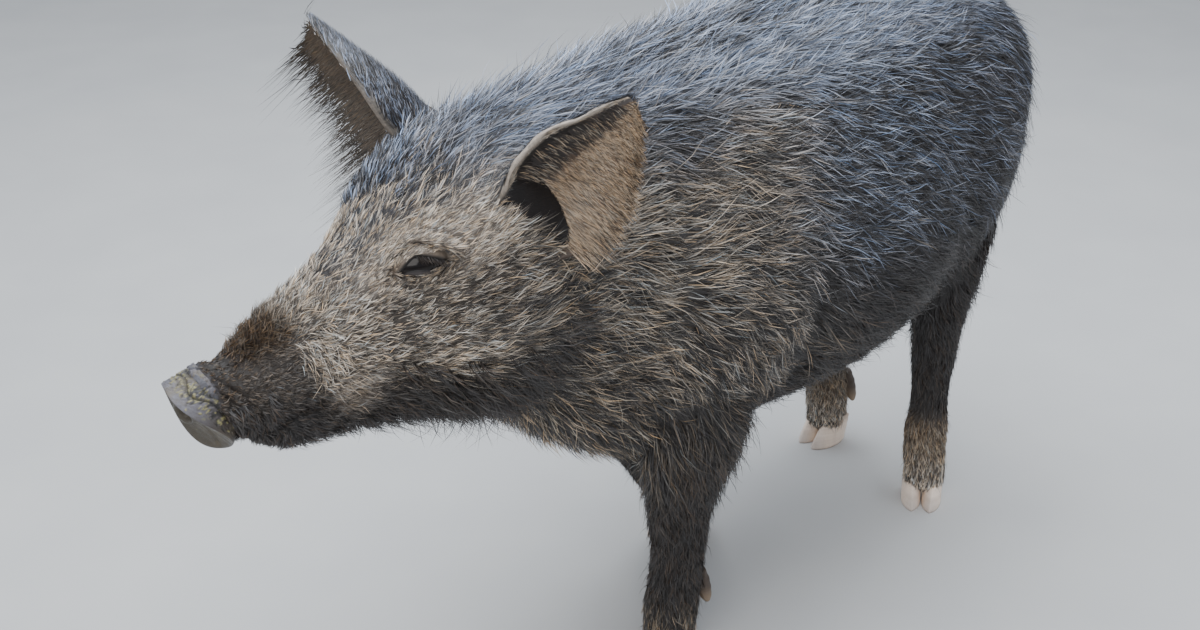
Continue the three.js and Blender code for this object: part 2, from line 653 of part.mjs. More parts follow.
// The flesh nodes, each with the block of space that it fills.
const aheadOfNeck = aheadOf(CUTS.neck);
const legEnds = (name) => (name.startsWith("fore") ? LEG_TOPS.fore : LEG_TOPS.hind);
const blocks = {
  head: aheadOf(CUTS.head),
  neck: aheadOfNeck.subtract(aheadOf(CUTS.head, -GAP)),
  torso: aheadOf({ x: -900, z: 300, lean: 0 }).subtract(joined([
    aheadOf(CUTS.neck, -GAP),
    ...sides.flatMap((side) => [legBlock(LEG_TOPS.fore, side, GAP), legBlock(LEG_TOPS.hind, side, GAP)]),
  ])),
};
for (const [name, leg] of Object.entries(LEGS)) blocks[`${name}_leg`] = legBlock(legEnds(name), leg.side);

// Nodes that carry no locks of the coat.
const hard = new Map();
for (const [name, leg] of Object.entries(LEGS)) {
  for (const side of sides) {
    const place = side === leg.side ? "outer" : "inner";
    hard.set(`${name}_hoof_${place}`, { geometry: hoof(leg, side), look: "hoof" });
    hard.set(`${name}_dewclaw_${place}`, { geometry: dewclaw(leg, side), look: "dewclaw" });
  }
}
hard.set("eye_left", { geometry: eyeBall(LEFT), look: "eye" });
hard.set("eye_right", { geometry: eyeBall(RIGHT), look: "eye" });
const hardSwollen = joined([...hard.values(), { geometry: noseDisc() }]
  .map(({ geometry }) => solid(geometry, GAP)));

const openings = joined(sides.flatMap((side) => [solid(eyeSlit(side)), solid(onHead(mouthCut(side)))]));
const fleshNode = (name) => {
  const made = flesh.intersect(blocks[name]).subtract(hardSwollen);
  return name === "head" ? made.subtract(openings) : made;
};

// ---------- coat ----------
const chance = () => THREE.MathUtils.seededRandom();
const vary = (amount) => 1 + amount * (2 * chance() - 1);
THREE.MathUtils.seededRandom(SEED);

// One lock: flat and tapered, rising from the skin along leave and settling into the lie.
function lock({ at, normal, lie, lift, length, width, roll = 0, sink = LOCK.sink }) {
  const leave = normal.clone().multiplyScalar(lift).addScaledVector(lie, 1 - lift).normalize();
  const settle = normal.clone().multiplyScalar(lift * 0.4).add(lie).normalize();
  const side = normal.clone().cross(lie).applyAxisAngle(lie, radians(roll)).normalize();
  const below = sink + (width * LOCK.widths[0] * Math.abs(side.dot(normal))) / 2;
  const depth = Math.min(below / leave.dot(normal), below * 3);
  const whole = length + depth;
  const middleAt = (t) => at.clone()
    .addScaledVector(leave, whole * (t - (t * t) / 2) - depth)
    .addScaledVector(settle, (whole * t * t) / 2);
  const rings = LOCK.rings.map((t, i) => {
    const out = leave.clone().lerp(settle, t).cross(side).normalize();
    if (out.dot(normal) < 0) out.negate();
    const half = (width * LOCK.widths[i]) / 2;
    const middle = middleAt(t);
    return [
      middle.clone().addScaledVector(side, half),
      middle.clone().addScaledVector(side, -half),
      middle.clone().addScaledVector(out, LOCK.thick * (1 - 0.7 * t)),
    ];
  });
  return skin(rings, middleAt(1));
}

const bodyForms = {
  trunk: (x, angle) => loftPoint(TRUNK, TRUNK_SHAPE, TRUNK_SWELLS, x, angle),
  head: (x, angle) => loftPoint(HEAD, HEAD_SHAPE, HEAD_SWELLS, x, angle).applyMatrix4(headMatrix),
  jaw: (x, angle) => loftPoint(JAW, JAW_SHAPE, [], x, angle).applyMatrix4(headMatrix),
};

// A place on a form with the way out of the skin there.
function footing(form, station, angle) {
  const at = form(station, angle);
  const along = form(station + 2, angle).sub(form(station - 2, angle));
  const round = form(station, angle + 0.05).sub(form(station, angle - 0.05));
  const normal = along.cross(round).normalize();
  const middle = form(station, 0).add(form(station, Math.PI)).multiplyScalar(0.5);
  if (normal.dot(at.clone().sub(middle)) < 0) normal.negate();
  return { at, normal };
}

const isAhead = ({ x, z, lean }, point) =>
  (point.x - x) * Math.cos(radians(lean)) + (point.z - z) * Math.sin(radians(lean)) > 0;

function ownerOf(point, legName) {
  if (legName && point.z < legEnds(legName).z) return `${legName}_leg`;
  if (isAhead(CUTS.head, point)) return "head";
  return isAhead(CUTS.neck, point) ? "neck" : "torso";
}

// The three lengths of a row, blended along it.
function lengthAlong([first, middle, last], t) {
  return t < 0.5 ? first + (middle - first) * t * 2 : middle + (last - middle) * (t * 2 - 1);
}

function rowOfLocks(row, form, legName) {
  return row.angles.flatMap((degrees, track) => Array.from({ length: row.count }, (_, i) => {
    const t = (i + 0.5 * (track % 2) + 0.3 * chance()) / row.count;
    const angle = radians(degrees + 5 * (2 * chance() - 1));
    const { at, normal } = footing(form, row.from + (row.to - row.from) * t, angle);
    const lie = vector(...row.lie).add(vector(0, 0.25 * (chance() - 0.5), 0.2 * (chance() - 0.5)));
    lie.addScaledVector(normal, -lie.dot(normal)).normalize();
    const length = lengthAlong(row.length, t) * vary(0.15);
    const roll = row.roll * (track % 2 ? -1 : 1) * vary(0.2);
    const look = { lift: row.lift * vary(0.2), length, width: row.width * vary(0.15), roll };
    return { owner: ownerOf(at, legName), geometry: lock({ at, normal, lie, ...look }) };
  }));
}

function tailLocks() {
  const { count, from, to, length, width, lift } = TUFTS.tail;
  return Array.from({ length: count }, (_, i) => {
    const t = from + (to - from) * (i / (count - 1));
    const here = tailPoint(t);
    const angle = i * 2.4;
    const normal = vector(Math.cos(angle), Math.sin(angle), 0);
    const at = vector(here.x, here.y, here.z).addScaledVector(normal, here.radius * 0.9);
    const long = length[0] + (length[1] - length[0]) * t;
    const look = { lift, length: long * vary(0.12), width, sink: here.radius * 0.5 };
    return { owner: "tail", geometry: lock({ at, normal, lie: vector(0, 0, -1), ...look }) };
  });
}

// Fringe along the front edge of an ear, pointing out and toward its tip.
function earLocks(name, ear) {
  const { from, to, count, length, width, lift } = TUFTS.ear;
  const { axis, across, open } = earFrame(ear);
  return Array.from({ length: count }, (_, i) => {
    const t = from + ((to - from) * (i + 0.5 * chance())) / count;
    const edge = ear.fringe;
    const at = earPoint(ear, t, edge * 0.96, false).applyMatrix4(headMatrix);
    const normal = across.clone().multiplyScalar(edge).addScaledVector(open, 0.35).normalize();
    normal.transformDirection(headMatrix);
    const lie = axis.clone().transformDirection(headMatrix);
    lie.addScaledVector(normal, -lie.dot(normal)).normalize();
    const look = { lift, length: (length[0] + (length[1] - length[0]) * t) * vary(0.15), width, sink: 4 };
    return { owner: `ear_${name}`, geometry: lock({ at, normal, lie, ...look }) };
  });
}

const locks = [
  ...[...CREST, ...BEARD, ...BELLY, ...FLANKS].flatMap((row) => rowOfLocks(row, bodyForms[row.on])),
  ...Object.entries(LEGS).flatMap(([name, leg]) => LEG_FRINGES
    .filter(({ on }) => name.startsWith(on))
    .flatMap((row) => rowOfLocks(row, (z, angle) => legPoint(leg, z, angle), name))),
  ...tailLocks(),
  ...Object.entries(EARS).flatMap(([name, ear]) => earLocks(name, ear)),
];

// ---------- dressing the nodes ----------
const nodes = new Map(); // name -> { made, look }
const put = (name, made, look) => nodes.set(name, { made: largest(made), look: LOOKS[look] });

// Locks keep clear of the other nodes' flesh, of the hard nodes and of the locks already placed.
const placed = [hardSwollen];
function dress(name, base, look, foreign) {
  const own = locks.filter(({ owner }) => owner === name);
  const free = joined(own.map(({ geometry }) => solid(geometry))).subtract(joined([...placed, foreign]));
  put(name, base.add(free), look);
  placed.push(...own.map(({ geometry }) => solid(geometry, GAP)));
}

for (const [name, ear] of Object.entries(EARS)) {
  const base = solid(earLeaf(ear)).subtract(fleshSwollen);
  dress(`ear_${name}`, base, "ear", fleshSwollen);
  placed.push(solid(earLeaf(ear), GAP));
}
dress("tail", solid(tailLoft()).subtract(fleshSwollen), "coat", fleshSwollen);
placed.push(solid(tailLoft(), GAP));
for (const name of Object.keys(blocks)) {
  dress(name, fleshNode(name), name === "head" ? "face" : "coat", fleshSwollen.subtract(blocks[name]));
}
for (const [name, { geometry, look }] of hard) put(name, solid(geometry), look);
const pits = joined(sides.map((side) => solid(nostril(side))));
put("nose_disc", solid(noseDisc()).subtract(pits), "snout");

// ---------- the part ----------
const group = new THREE.Group();
group.position.set(-ORIGIN.x, -ORIGIN.y, 0);
for (const [name, { made, look }] of nodes) {
  const mesh = new THREE.Mesh(geometryOf(made), new THREE.MeshStandardMaterial({ ...look, metalness: 0 }));
  mesh.name = name;
  group.add(mesh);
}
export default group;
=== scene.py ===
"""A young black pig as a still, life-size model: skin, eyes, nose, feet and bristly coat."""

import bmesh
import bpy
import numpy as np
from mathutils import Matrix, Vector
from mathutils.bvhtree import BVHTree


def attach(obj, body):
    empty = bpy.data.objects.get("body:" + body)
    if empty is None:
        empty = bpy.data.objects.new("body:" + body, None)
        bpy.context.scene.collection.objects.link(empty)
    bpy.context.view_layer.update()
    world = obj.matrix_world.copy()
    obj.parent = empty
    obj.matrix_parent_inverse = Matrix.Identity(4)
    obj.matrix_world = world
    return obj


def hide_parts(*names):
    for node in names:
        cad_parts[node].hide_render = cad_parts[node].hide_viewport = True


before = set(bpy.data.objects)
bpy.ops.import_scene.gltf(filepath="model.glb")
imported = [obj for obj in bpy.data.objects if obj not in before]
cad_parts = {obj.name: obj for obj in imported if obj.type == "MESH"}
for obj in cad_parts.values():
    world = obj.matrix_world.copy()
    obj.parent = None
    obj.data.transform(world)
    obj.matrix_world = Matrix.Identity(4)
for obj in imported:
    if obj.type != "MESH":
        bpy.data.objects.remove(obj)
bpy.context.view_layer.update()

# ---------- driving dimensions, in millimetres ----------
# The body frame is the row frame moved by ORIGIN: +X is the way the pig faces, +Y its left, +Z up.
ORIGIN = np.array([126.5, 0.0, 0.0])
LEFT, RIGHT = 1, -1
SEED = 11


def table(names, rows):
    """Rows of numbers as named columns."""
    return dict(zip(names.split(), np.array(rows, float).T))


TRUNK = table("x top bottom level half shift", [
    (-374, 508, 428, 478, 34, 0), (-365, 537, 380, 478, 60, 0), (-340, 566, 322, 475, 84, 0),
    (-297, 588, 282, 459, 107, 0), (-232, 602, 254, 434, 127, 0), (-150, 608, 239, 406, 140, 0),
    (-60, 609, 227, 390, 146, 0), (30, 607, 223, 390, 145, 0), (110, 603, 225, 395, 138, 0),
    (180, 598, 229, 405, 127, 0), (240, 593, 243, 425, 113, 3), (300, 588, 278, 445, 99, 7),
    (350, 584, 322, 460, 88, 10), (395, 572, 366, 475, 74, 12), (415, 545, 400, 478, 48, 12),
])
TRUNK_POWERS = (2.1, 2.3)
TRUNK_SWELLS = [  # centre, reach, out
    ((180, 108, 365), (75, 90, 115), 13),  # shoulder
    ((-235, 105, 440), (80, 90, 90), 7),  # ham
    ((-30, 120, 320), (110, 90, 80), 6),  # belly
]

# The head's frame: origin at the poll, +X along the face, +Z up.
HEAD_AT = np.array([381.0, 17.0, 583.0])
HEAD_TURN = {"yaw": -2.0, "pitch": 12.5, "roll": 4.0}
HEAD = table("x top bottom level half shift", [
    (-48, -36, -134, -80, 40, 0), (-34, -8, -170, -84, 63, 0), (0, 8, -198, -92, 78, 0),
    (40, 13, -210, -98, 82, 0), (80, 6, -205, -98, 77, 0), (118, -11, -182, -90, 63, 0),
    (150, -27, -158, -86, 51, 0), (185, -39, -141, -85, 42, 0), (220, -48, -130, -85, 36, 0),
    (255, -60, -124, -87, 31.5, 0), (281, -66, -118, -89, 27.5, 0),
])
HEAD_POWERS = (2.05, 2.1)
SNOUT_LEAN = {"start": 215, "end": 281, "degrees": 14}  # the snout's sections lean toward the disc
HEAD_SWELLS = [
    ((42, 66, -14), (46, 34, 30), 12),  # poll before the ear
    ((106, 56, -26), (30, 30, 18), 6),  # brow
    ((135, 55, -68), (30, 30, 20), -3),  # hollow below the eye
    ((55, 80, -130), (45, 40, 45), 6),  # jowl
]
JAW = table("x top bottom level half shift", [
    (50, -120, -206, -154, 60, 0), (110, -118, -188, -146, 47, 0), (160, -116, -168, -140, 37, 0),
    (200, -115, -155, -135, 31, 0), (232, -114, -148, -131, 27, 0), (252, -113, -138, -125, 23, 0),
    (266, -112, -128, -120, 15, 0),
])
JAW_POWERS = (2.2, 2.2)
MOUTH = {"front": 262, "back": 168, "front_level": -118, "back_level": -105}
DISC = {  # twist: how far the rim is bent out of its plane, as the pig sniffs
    "x": 292.5, "z": -87.5, "tilt": 19, "yaw": 5.5, "half": 27.5, "high": 38.5, "thick": 17, "twist": 5.8,
}
DISC_POWERS = (2.4, 2.3)
NOSTRIL = {"y": 13, "z": 1, "wide": 6.5, "high": 8.5, "deep": 11}

EARS = {
    "left": {
        "base": (14, 64, -46), "tip": (-69, 111, 12), "faces": (0.46, 0.88, -0.06),
        "bend": -8, "deep": 1.3, "wide": 1.0, "fringe": -1, "hair": 9, "shade": 1.0,
    },
    "right": {
        # The right ear is the far one. Its shade of 0.25 is painted shade that darkens its inside, its inner
        # hair and its outer rim.
        "base": (19, -60, -10), "tip": (26, -154, 82), "faces": (0.94, -0.26, -0.2),
        "bend": 3, "deep": 1.6, "wide": 0.84, "fringe": 1, "hair": 28, "shade": 0.25,
    },
}
EAR_LEAF = table("t half cup thick lobe", [
    (-0.3, 26, 20, 6, 3), (0, 44, 25, 5.5, 7), (0.22, 52, 24, 4.8, 5), (0.48, 47, 18, 4, 4),
    (0.72, 30, 11, 3.4, 4), (0.9, 15, 5, 2.8, 1), (1, 5, 1.5, 2, 0),
])

FORE_LEG = table("z x y along across", [
    (345, 166, 70, 66, 34), (295, 178, 80, 64, 38), (250, 190, 86, 54, 37), (212, 197, 83, 41, 32),
    (180, 197, 79, 32, 28), (150, 194, 76, 28, 26), (122, 192, 74, 25, 24), (95, 193, 73, 27, 25),
    (68, 196, 72, 26, 25), (42, 197, 71, 26, 26), (22, 196, 71, 24, 24), (10, 190, 71, 15, 17),
])
HIND_LEG = table("z x y along across", [
    (400, -244, 72, 52, 40), (345, -234, 78, 47, 38), (300, -226, 80, 41, 34), (260, -222, 80, 35, 30),
    (225, -221, 78, 29, 26), (195, -224, 77, 26, 24), (165, -224, 77, 24, 22), (130, -222, 79, 23, 21),
    (95, -221, 80, 26, 24), (65, -222, 80, 24, 24), (42, -224, 81, 24, 24), (22, -225, 81, 22, 23),
    (10, -229, 81, 14, 16),
])
LEG_POWER = 2.2
LEGS_PART = -100  # x between the fore and the hind legs
LEGS = {  # step: how far forward the foot is set; turn: how far the toes turn out
    "fore_left": {"sections": FORE_LEG, "side": LEFT, "step": 0, "turn": 8},
    "fore_right": {"sections": FORE_LEG, "side": RIGHT, "step": -168, "turn": 6},
    "hind_left": {"sections": HIND_LEG, "side": LEFT, "step": 0, "turn": 34},
    "hind_right": {"sections": HIND_LEG, "side": RIGHT, "step": -28, "turn": 4},
}
STEP = {"top": 300, "foot": 40}
HOOF = {"long": 54, "wide": 22, "high": 36, "slope": 0.55, "split": 2.6, "spread": 4, "ahead": 10}
DEWCLAW = {"long": 44, "wide": 8, "back": 20, "apart": 15, "top": 96, "lean": 14}
TAIL = table("t x y z radius", [
    (0, -350, 0, 512, 17), (1, -378, 1, 505, 14), (2, -398, 4, 480, 11.5), (3, -408, 9, 440, 9.5),
    (4, -409, 13, 395, 7.5), (5, -405, 14, 350, 5.5), (6, -400, 12, 322, 3.5),
])

# How deep the skin lies below the solids' flesh.
INSET = {"trunk": 5.0, "cheek": 3.0, "snout": 0.6, "leg": 2.0, "tail": 1.0}
VOXEL = 4.2
SMOOTH_IN, SMOOTH_OUT = 0.5, -0.53  # how far a point moves toward its neighbours' middle, and out again

# ---------- numbers ----------


def between(stations, axis, at):
    """Every column at places along an axis, on cubics through the neighbouring stations."""
    knots = stations[axis]
    at = np.asarray(at, float)
    last = len(knots) - 1
    way = np.sign(knots[-1] - knots[0])
    i = np.searchsorted(knots[1:-1] * way, at * way)
    u = (at - knots[i]) / (knots[i + 1] - knots[i])
    before, after = np.maximum(np.arange(last + 1) - 1, 0), np.minimum(np.arange(last + 1) + 1, last)
    made = {}
    for name, column in stations.items():
        slope = (column[after] - column[before]) / (knots[after] - knots[before])
        span = knots[i + 1] - knots[i]
        rise = u * u * (3 - 2 * u)
        leave = u * (1 - u) ** 2 * slope[i] * span
        arrive = u * u * (u - 1) * slope[i + 1] * span
        made[name] = column[i] * (1 - rise) + column[i + 1] * rise + leave + arrive
    return made


def rounded(value, power):
    return np.sign(value) * np.abs(value) ** (2 / power)


def unit(vectors):
    return vectors / np.maximum(np.linalg.norm(vectors, axis=-1, keepdims=True), 1e-9)


def dot(a, b):
    return np.sum(a * b, axis=-1, keepdims=True)


def smooth(low, high, value):
    t = np.clip((value - low) / (high - low), 0, 1)
    return t * t * (3 - 2 * t)


def hump(value, at, width):
    """1 at a value, falling off smoothly over a width to either side."""
    return np.exp(-(((value - at) / width) ** 2))


def spin(axis, degrees):
    return np.array(Matrix.Rotation(np.radians(degrees), 3, axis))


def on_left(points):
    """Points of the right side moved to their place on the left, so that both sides are alike."""
    return points * [1, 0, 1] + np.abs(points) * [0, 1, 0]


def blob(points, at, reach):
    """1 at a place, falling off smoothly over its reach; y is taken alike on both sides."""
    away = (on_left(points) - np.array(at, float)) / np.array(reach, float)
    return np.exp(-np.sum(away ** 2, axis=-1))


def turns_round(sides):
    """Even turns round a ring, in radians, as one row."""
    return np.linspace(0, 2 * np.pi, sides, endpoint=False)[None, :]


HEAD_SPIN = spin("Z", HEAD_TURN["yaw"]) @ spin("Y", HEAD_TURN["pitch"]) @ spin("X", HEAD_TURN["roll"])
DISC_SPIN = spin("Z", DISC["yaw"]) @ spin("Y", DISC["tilt"])
DISC_AT = np.array([DISC["x"], 0.0, DISC["z"]])


def from_head(points):
    return points @ HEAD_SPIN.T + HEAD_AT


def to_head(points):
    return (points - HEAD_AT) @ HEAD_SPIN


def from_disc(points):
    return from_head(points @ DISC_SPIN.T + DISC_AT)


def disc_depth(on_head):
    """How far points of the head lie ahead of the middle of the nose disc, along its own axis."""
    return ((on_head - DISC_AT) @ DISC_SPIN)[..., 0]


def disc_bend(y, z):
    """How far the twisted nose disc stands ahead of its plane."""
    return 2 * DISC["twist"] * np.clip(y / DISC["half"], -1.2, 1.2) * np.clip(z / DISC["high"], -1.2, 1.2)


def past_hair(on_head):
    """How far points of the head lie ahead of the hair's edge, which is nearer the nose's face below."""
    x, y, z = np.moveaxis((on_head - DISC_AT) @ DISC_SPIN, -1, 0)
    return x - disc_bend(y, z) + 17 - 18 * smooth(24, -8, z)


def line_distance(points, line):
    """How far points are from a line through given places."""
    best = np.full(len(points), 1e9)
    for a, b in zip(line[:-1], line[1:]):
        a, b = np.array(a, float), np.array(b, float)
        t = np.clip(((points - a) @ (b - a)) / ((b - a) @ (b - a)), 0, 1)
        best = np.minimum(best, np.linalg.norm(points - a - t[:, None] * (b - a), axis=1))
    return best


# ---------- meshes ----------


def grid_faces(rows, sides, closed=True):
    """Quads between rows of points, each row a ring if closed."""
    a = np.arange(rows - 1)[:, None] * sides
    j = np.arange(sides if closed else sides - 1)[None, :]
    k = (j + 1) % sides
    return np.stack([a + j, a + k, a + sides + k, a + sides + j], -1).reshape(-1, 4)


def shell(rings):
    """A closed shape through rings (rows, sides, 3), as points and faces."""
    rows, sides = rings.shape[:2]
    points = np.vstack([rings.reshape(-1, 3), rings[0].mean(0), rings[-1].mean(0)])
    j = np.arange(sides)
    k = (j + 1) % sides
    start, end = len(points) - 2, len(points) - 1
    low = np.stack([np.full(sides, start), k, j], -1)
    high = np.stack([np.full(sides, end), (rows - 1) * sides + j, (rows - 1) * sides + k], -1)
    return points, [grid_faces(rows, sides), low, high]


def join(shapes):
    """Several (points, faces) as one."""
    points, faces, start = [], [], 0
    for some, polygons in shapes:
        points.append(some)
        faces += [one + start for one in polygons]
        start += len(some)
    return np.vstack(points), faces


def make_mesh(name, points, faces, tone=None, uv=None):
    """A smooth mesh from millimetres in the body frame. faces is a list of arrays of like polygons."""
    mesh = bpy.data.meshes.new(name)
    sizes = np.concatenate([np.full(len(one), one.shape[1]) for one in faces])
    corners = np.concatenate([one.ravel() for one in faces])
    mesh.vertices.add(len(points))
    mesh.vertices.foreach_set("co", ((points - ORIGIN) * 0.001).astype(np.float32).ravel())
    mesh.loops.add(len(corners))
    mesh.loops.foreach_set("vertex_index", corners.astype(np.int32))
    mesh.polygons.add(len(sizes))
    starts = np.concatenate([[0], np.cumsum(sizes)[:-1]])
    mesh.polygons.foreach_set("loop_start", starts.astype(np.int32))
    mesh.polygons.foreach_set("use_smooth", np.ones(len(sizes), bool))
    mesh.update(calc_edges=True)
    if tone is not None:
        set_tone(mesh, tone)
    if uv is not None:
        layer = mesh.uv_layers.new(name="OFBake")
        layer.data.foreach_set("uv", uv[corners].astype(np.float32).ravel())
    return mesh


def set_tone(mesh, tone):
    layer = mesh.color_attributes.new("tone", "FLOAT_COLOR", "POINT")
    full = np.hstack([tone, np.ones((len(tone), 1))])
    layer.data.foreach_set("color", full.astype(np.float32).ravel())


def laid_over(tone, layers):
    """A tone under layers of (colour, share), the shares as wide as the tone's points."""
    for colour, share in layers:
        share = share if share.ndim == tone.ndim else share[..., None]
        tone = tone * (1 - share) + np.array(colour) * share
    return tone


def points_of(mesh):
    flat = np.empty(len(mesh.vertices) * 3, np.float32)
    mesh.vertices.foreach_get("co", flat)
    return flat.reshape(-1, 3).astype(float) * 1000 + ORIGIN


def put_points(mesh, points):
    mesh.vertices.foreach_set("co", ((points - ORIGIN) * 0.001).astype(np.float32).ravel())
    mesh.update()


def normals_of(mesh):
    flat = np.empty(len(mesh.vertices) * 3, np.float32)
    mesh.vertex_normals.foreach_get("vector", flat)
    return flat.reshape(-1, 3).astype(float)


def place(name, mesh, material, replaces=()):
    """A piece of the pig: it rides on the one body and stands for CAD nodes."""
    piece = bpy.data.objects.new(name, mesh)
    bpy.context.scene.collection.objects.link(piece)
    mesh.materials.append(material)
    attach(piece, "root")
    if replaces:
        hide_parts(*replaces)


# ---------- forms of the body ----------
TRUNK_FORM = {"stations": TRUNK, "powers": TRUNK_POWERS, "swells": TRUNK_SWELLS}
HEAD_FORM = {"stations": HEAD, "powers": HEAD_POWERS, "swells": HEAD_SWELLS, "leans": True}
JAW_FORM = {"stations": JAW, "powers": JAW_POWERS, "swells": []}


def leaned(points, level):
    """The snout's sections lean more and more toward its tip, where they meet the nose disc square on."""
    share = smooth(SNOUT_LEAN["start"], SNOUT_LEAN["end"], points[..., 0])
    moved = points.copy()
    moved[..., 0] += (points[..., 2] - level) * np.tan(np.radians(SNOUT_LEAN["degrees"])) * share
    return moved


def loft_points(form, x, angle, inset=0.0):
    """Points of a form at stations x and turns round it: 0 the left side, 90 degrees the top."""
    s = between(form["stations"], "x", x)
    up = np.sin(angle)
    power = np.where(up > 0, *form["powers"])
    reach = np.where(up > 0, s["top"] - s["level"], s["level"] - s["bottom"]) - inset
    y = s["shift"] + (s["half"] - inset) * rounded(np.cos(angle), power)
    z = s["level"] + reach * rounded(up, power)
    points = np.stack([np.broadcast_to(x, y.shape), y, z], -1)
    side = np.where(y < 0, -1.0, 1.0)
    for at, swell_reach, out in form["swells"]:
        points[..., 1] += side * out * blob(points, at, swell_reach)
    return leaned(points, s["level"]) if form.get("leans") else points


def loft(form, inset, rows=60, sides=72, domed=False):
    start, end = form["stations"]["x"][0], form["stations"]["x"][-1]
    x = np.linspace(start, end, rows)[:, None]
    angle = turns_round(sides)
    depth = inset(x) if callable(inset) else inset
    rings = loft_points(form, x, angle, depth)
    if domed:
        rings = np.concatenate([dome(rings[0], -9), rings])
    return shell(rings)


def dome(ring, out, rows=5):
    """Rings that close a rounded end, ahead of a first ring."""
    middle = ring.mean(0)
    turns = np.radians(np.linspace(80, 12, rows))[:, None, None]
    return middle + (ring - middle) * np.cos(turns) + np.array([out, 0, 0]) * np.sin(turns)


def swing(z):
    """How much of its step a leg has taken at a height."""
    return np.clip((STEP["top"] - z) / (STEP["top"] - STEP["foot"]), 0, 1) ** 1.2


def leg_points(leg, z, angle, inset=0.0):
    s = between(leg["sections"], "z", z)
    turn = np.radians(leg["turn"] * leg["side"]) * smooth(-230, -60, -z)
    along = (s["along"] - inset) * rounded(np.cos(angle), LEG_POWER)
    across = (s["across"] - inset) * rounded(np.sin(angle), LEG_POWER)
    x = s["x"] + leg["step"] * swing(z) + along * np.cos(turn) - across * np.sin(turn)
    y = leg["side"] * s["y"] + along * np.sin(turn) + across * np.cos(turn)
    return np.stack([x, y, np.broadcast_to(z, x.shape)], -1)


def leg_loft(leg, rows=70, sides=40):
    top, bottom = leg["sections"]["z"][0], leg["sections"]["z"][-1]
    z = np.linspace(top, bottom, rows)[:, None]
    angle = turns_round(sides)
    return shell(leg_points(leg, z, angle, INSET["leg"]))


def ear_frame(ear):
    base, tip = np.array(ear["base"], float), np.array(ear["tip"], float)
    axis = unit(tip - base)
    faces = np.array(ear["faces"])
    opening = unit(faces - (faces @ axis) * axis)
    return base, np.linalg.norm(tip - base), axis, opening, np.cross(axis, opening)


def ear_points(ear, t, s, inner):
    """Points of the ear's leaf in the head's frame: t from root to tip, s from edge to edge."""
    base, length, axis, opening, across = ear_frame(ear)
    leaf = between(EAR_LEAF, "t", t)
    half = leaf["half"] - (leaf["thick"] * 0.35 if inner else 0)
    cup = leaf["cup"] * ear["deep"]
    deep = cup * (1 - s * s) - (leaf["thick"] * (1 - 0.4 * s * s) if inner else 0)
    sideways = half * (ear["wide"] * s + (1 - ear["wide"]) * ear["fringe"]) - leaf["lobe"] * ear["fringe"]
    out = cup * 0.5 - deep + ear["bend"] * t * t
    return base + (length * t)[..., None] * axis + sideways[..., None] * across + out[..., None] * opening


def in_ear(on_head, ear):
    """Which points of the head lie in the ear's opening, before the leaf."""
    base, length, axis, opening, across = ear_frame(ear)
    local = on_head - base
    t = local @ axis / length
    leaf = between(EAR_LEAF, "t", np.clip(t, -0.3, 1))
    s = (local @ across + leaf["lobe"] * ear["fringe"]) / leaf["half"]
    s = (s - (1 - ear["wide"]) * ear["fringe"]) / ear["wide"]
    out = local @ opening - leaf["cup"] * ear["deep"] * (s * s - 0.5)
    return (t > -0.1) & (np.abs(s) < 0.93) & (out > -6) & (out < 46)


def tail_frame(t):
    here = between(TAIL, "t", t)
    ahead, behind = between(TAIL, "t", np.minimum(t + 0.1, 6)), between(TAIL, "t", np.maximum(t - 0.1, 0))
    middle = np.stack([here["x"], here["y"], here["z"]], -1)
    way = unit(np.stack([ahead[c] - behind[c] for c in "xyz"], -1))
    side = unit(np.cross(way, [0, 1.0, 0]))
    return middle, way, side, np.cross(way, side), here["radius"]

# ---------- materials ----------


def material(name, roughness, specular=0.5, **values):
    """A node material and its tools. Uniform values stay on the shader's own sockets."""
    made = bpy.data.materials.new(name)
    made.use_nodes = True
    shader = made.node_tree.nodes["Principled BSDF"]
    shader.inputs["Roughness"].default_value = roughness
    shader.inputs["Specular IOR Level"].default_value = specular
    for socket, value in values.items():
        shader.inputs[socket.replace("_", " ")].default_value = value
    return made, made.node_tree, shader


def add(tree, kind, **settings):
    """A node, with its properties and unlinked inputs set by name."""
    node = tree.nodes.new(kind)
    for name, value in settings.items():
        if hasattr(node, name):
            setattr(node, name, value)
        else:
            node.inputs[name.replace("_", " ")].default_value = value
    return node


def noise(tree, scale, stretch=(1, 1, 1), detail=4.0, roughness=0.55):
    """Noise over the object, its grain stretched by scaling the coordinates."""
    place_node = add(tree, "ShaderNodeTexCoord")
    mapping = add(tree, "ShaderNodeMapping", Scale=stretch)
    tree.links.new(place_node.outputs["Object"], mapping.inputs["Vector"])
    made = add(tree, "ShaderNodeTexNoise", Scale=scale, Detail=detail, Roughness=roughness)
    tree.links.new(mapping.outputs["Vector"], made.inputs["Vector"])
    return made.outputs["Fac"]


def ramp(tree, value, low, high, dark, light):
    node = add(tree, "ShaderNodeMapRange", From_Min=low, From_Max=high, To_Min=dark, To_Max=light)
    tree.links.new(value, node.inputs["Value"])
    return node.outputs["Result"]


def mix(tree, share, a, b, blend="MIX"):
    """A colour between a and b, each a colour or an output."""
    node = add(tree, "ShaderNodeMix", data_type="RGBA", blend_type=blend)
    for socket, value in ((node.inputs["Factor"], share), (node.inputs["A"], a), (node.inputs["B"], b)):
        if hasattr(value, "links"):
            tree.links.new(value, socket)
        else:
            socket.default_value = value if isinstance(value, float) else (*value, 1.0)
    return node.outputs["Result"]


def bump(tree, shader, heights):
    """Bumps laid one on another: each is an output, its depth in metres and its strength."""
    last = None
    for height, distance, strength in heights:
        node = add(tree, "ShaderNodeBump", Distance=distance, Strength=strength)
        tree.links.new(height, node.inputs["Height"])
        if last is not None:
            tree.links.new(last, node.inputs["Normal"])
        last = node.outputs["Normal"]
    tree.links.new(last, shader.inputs["Normal"])


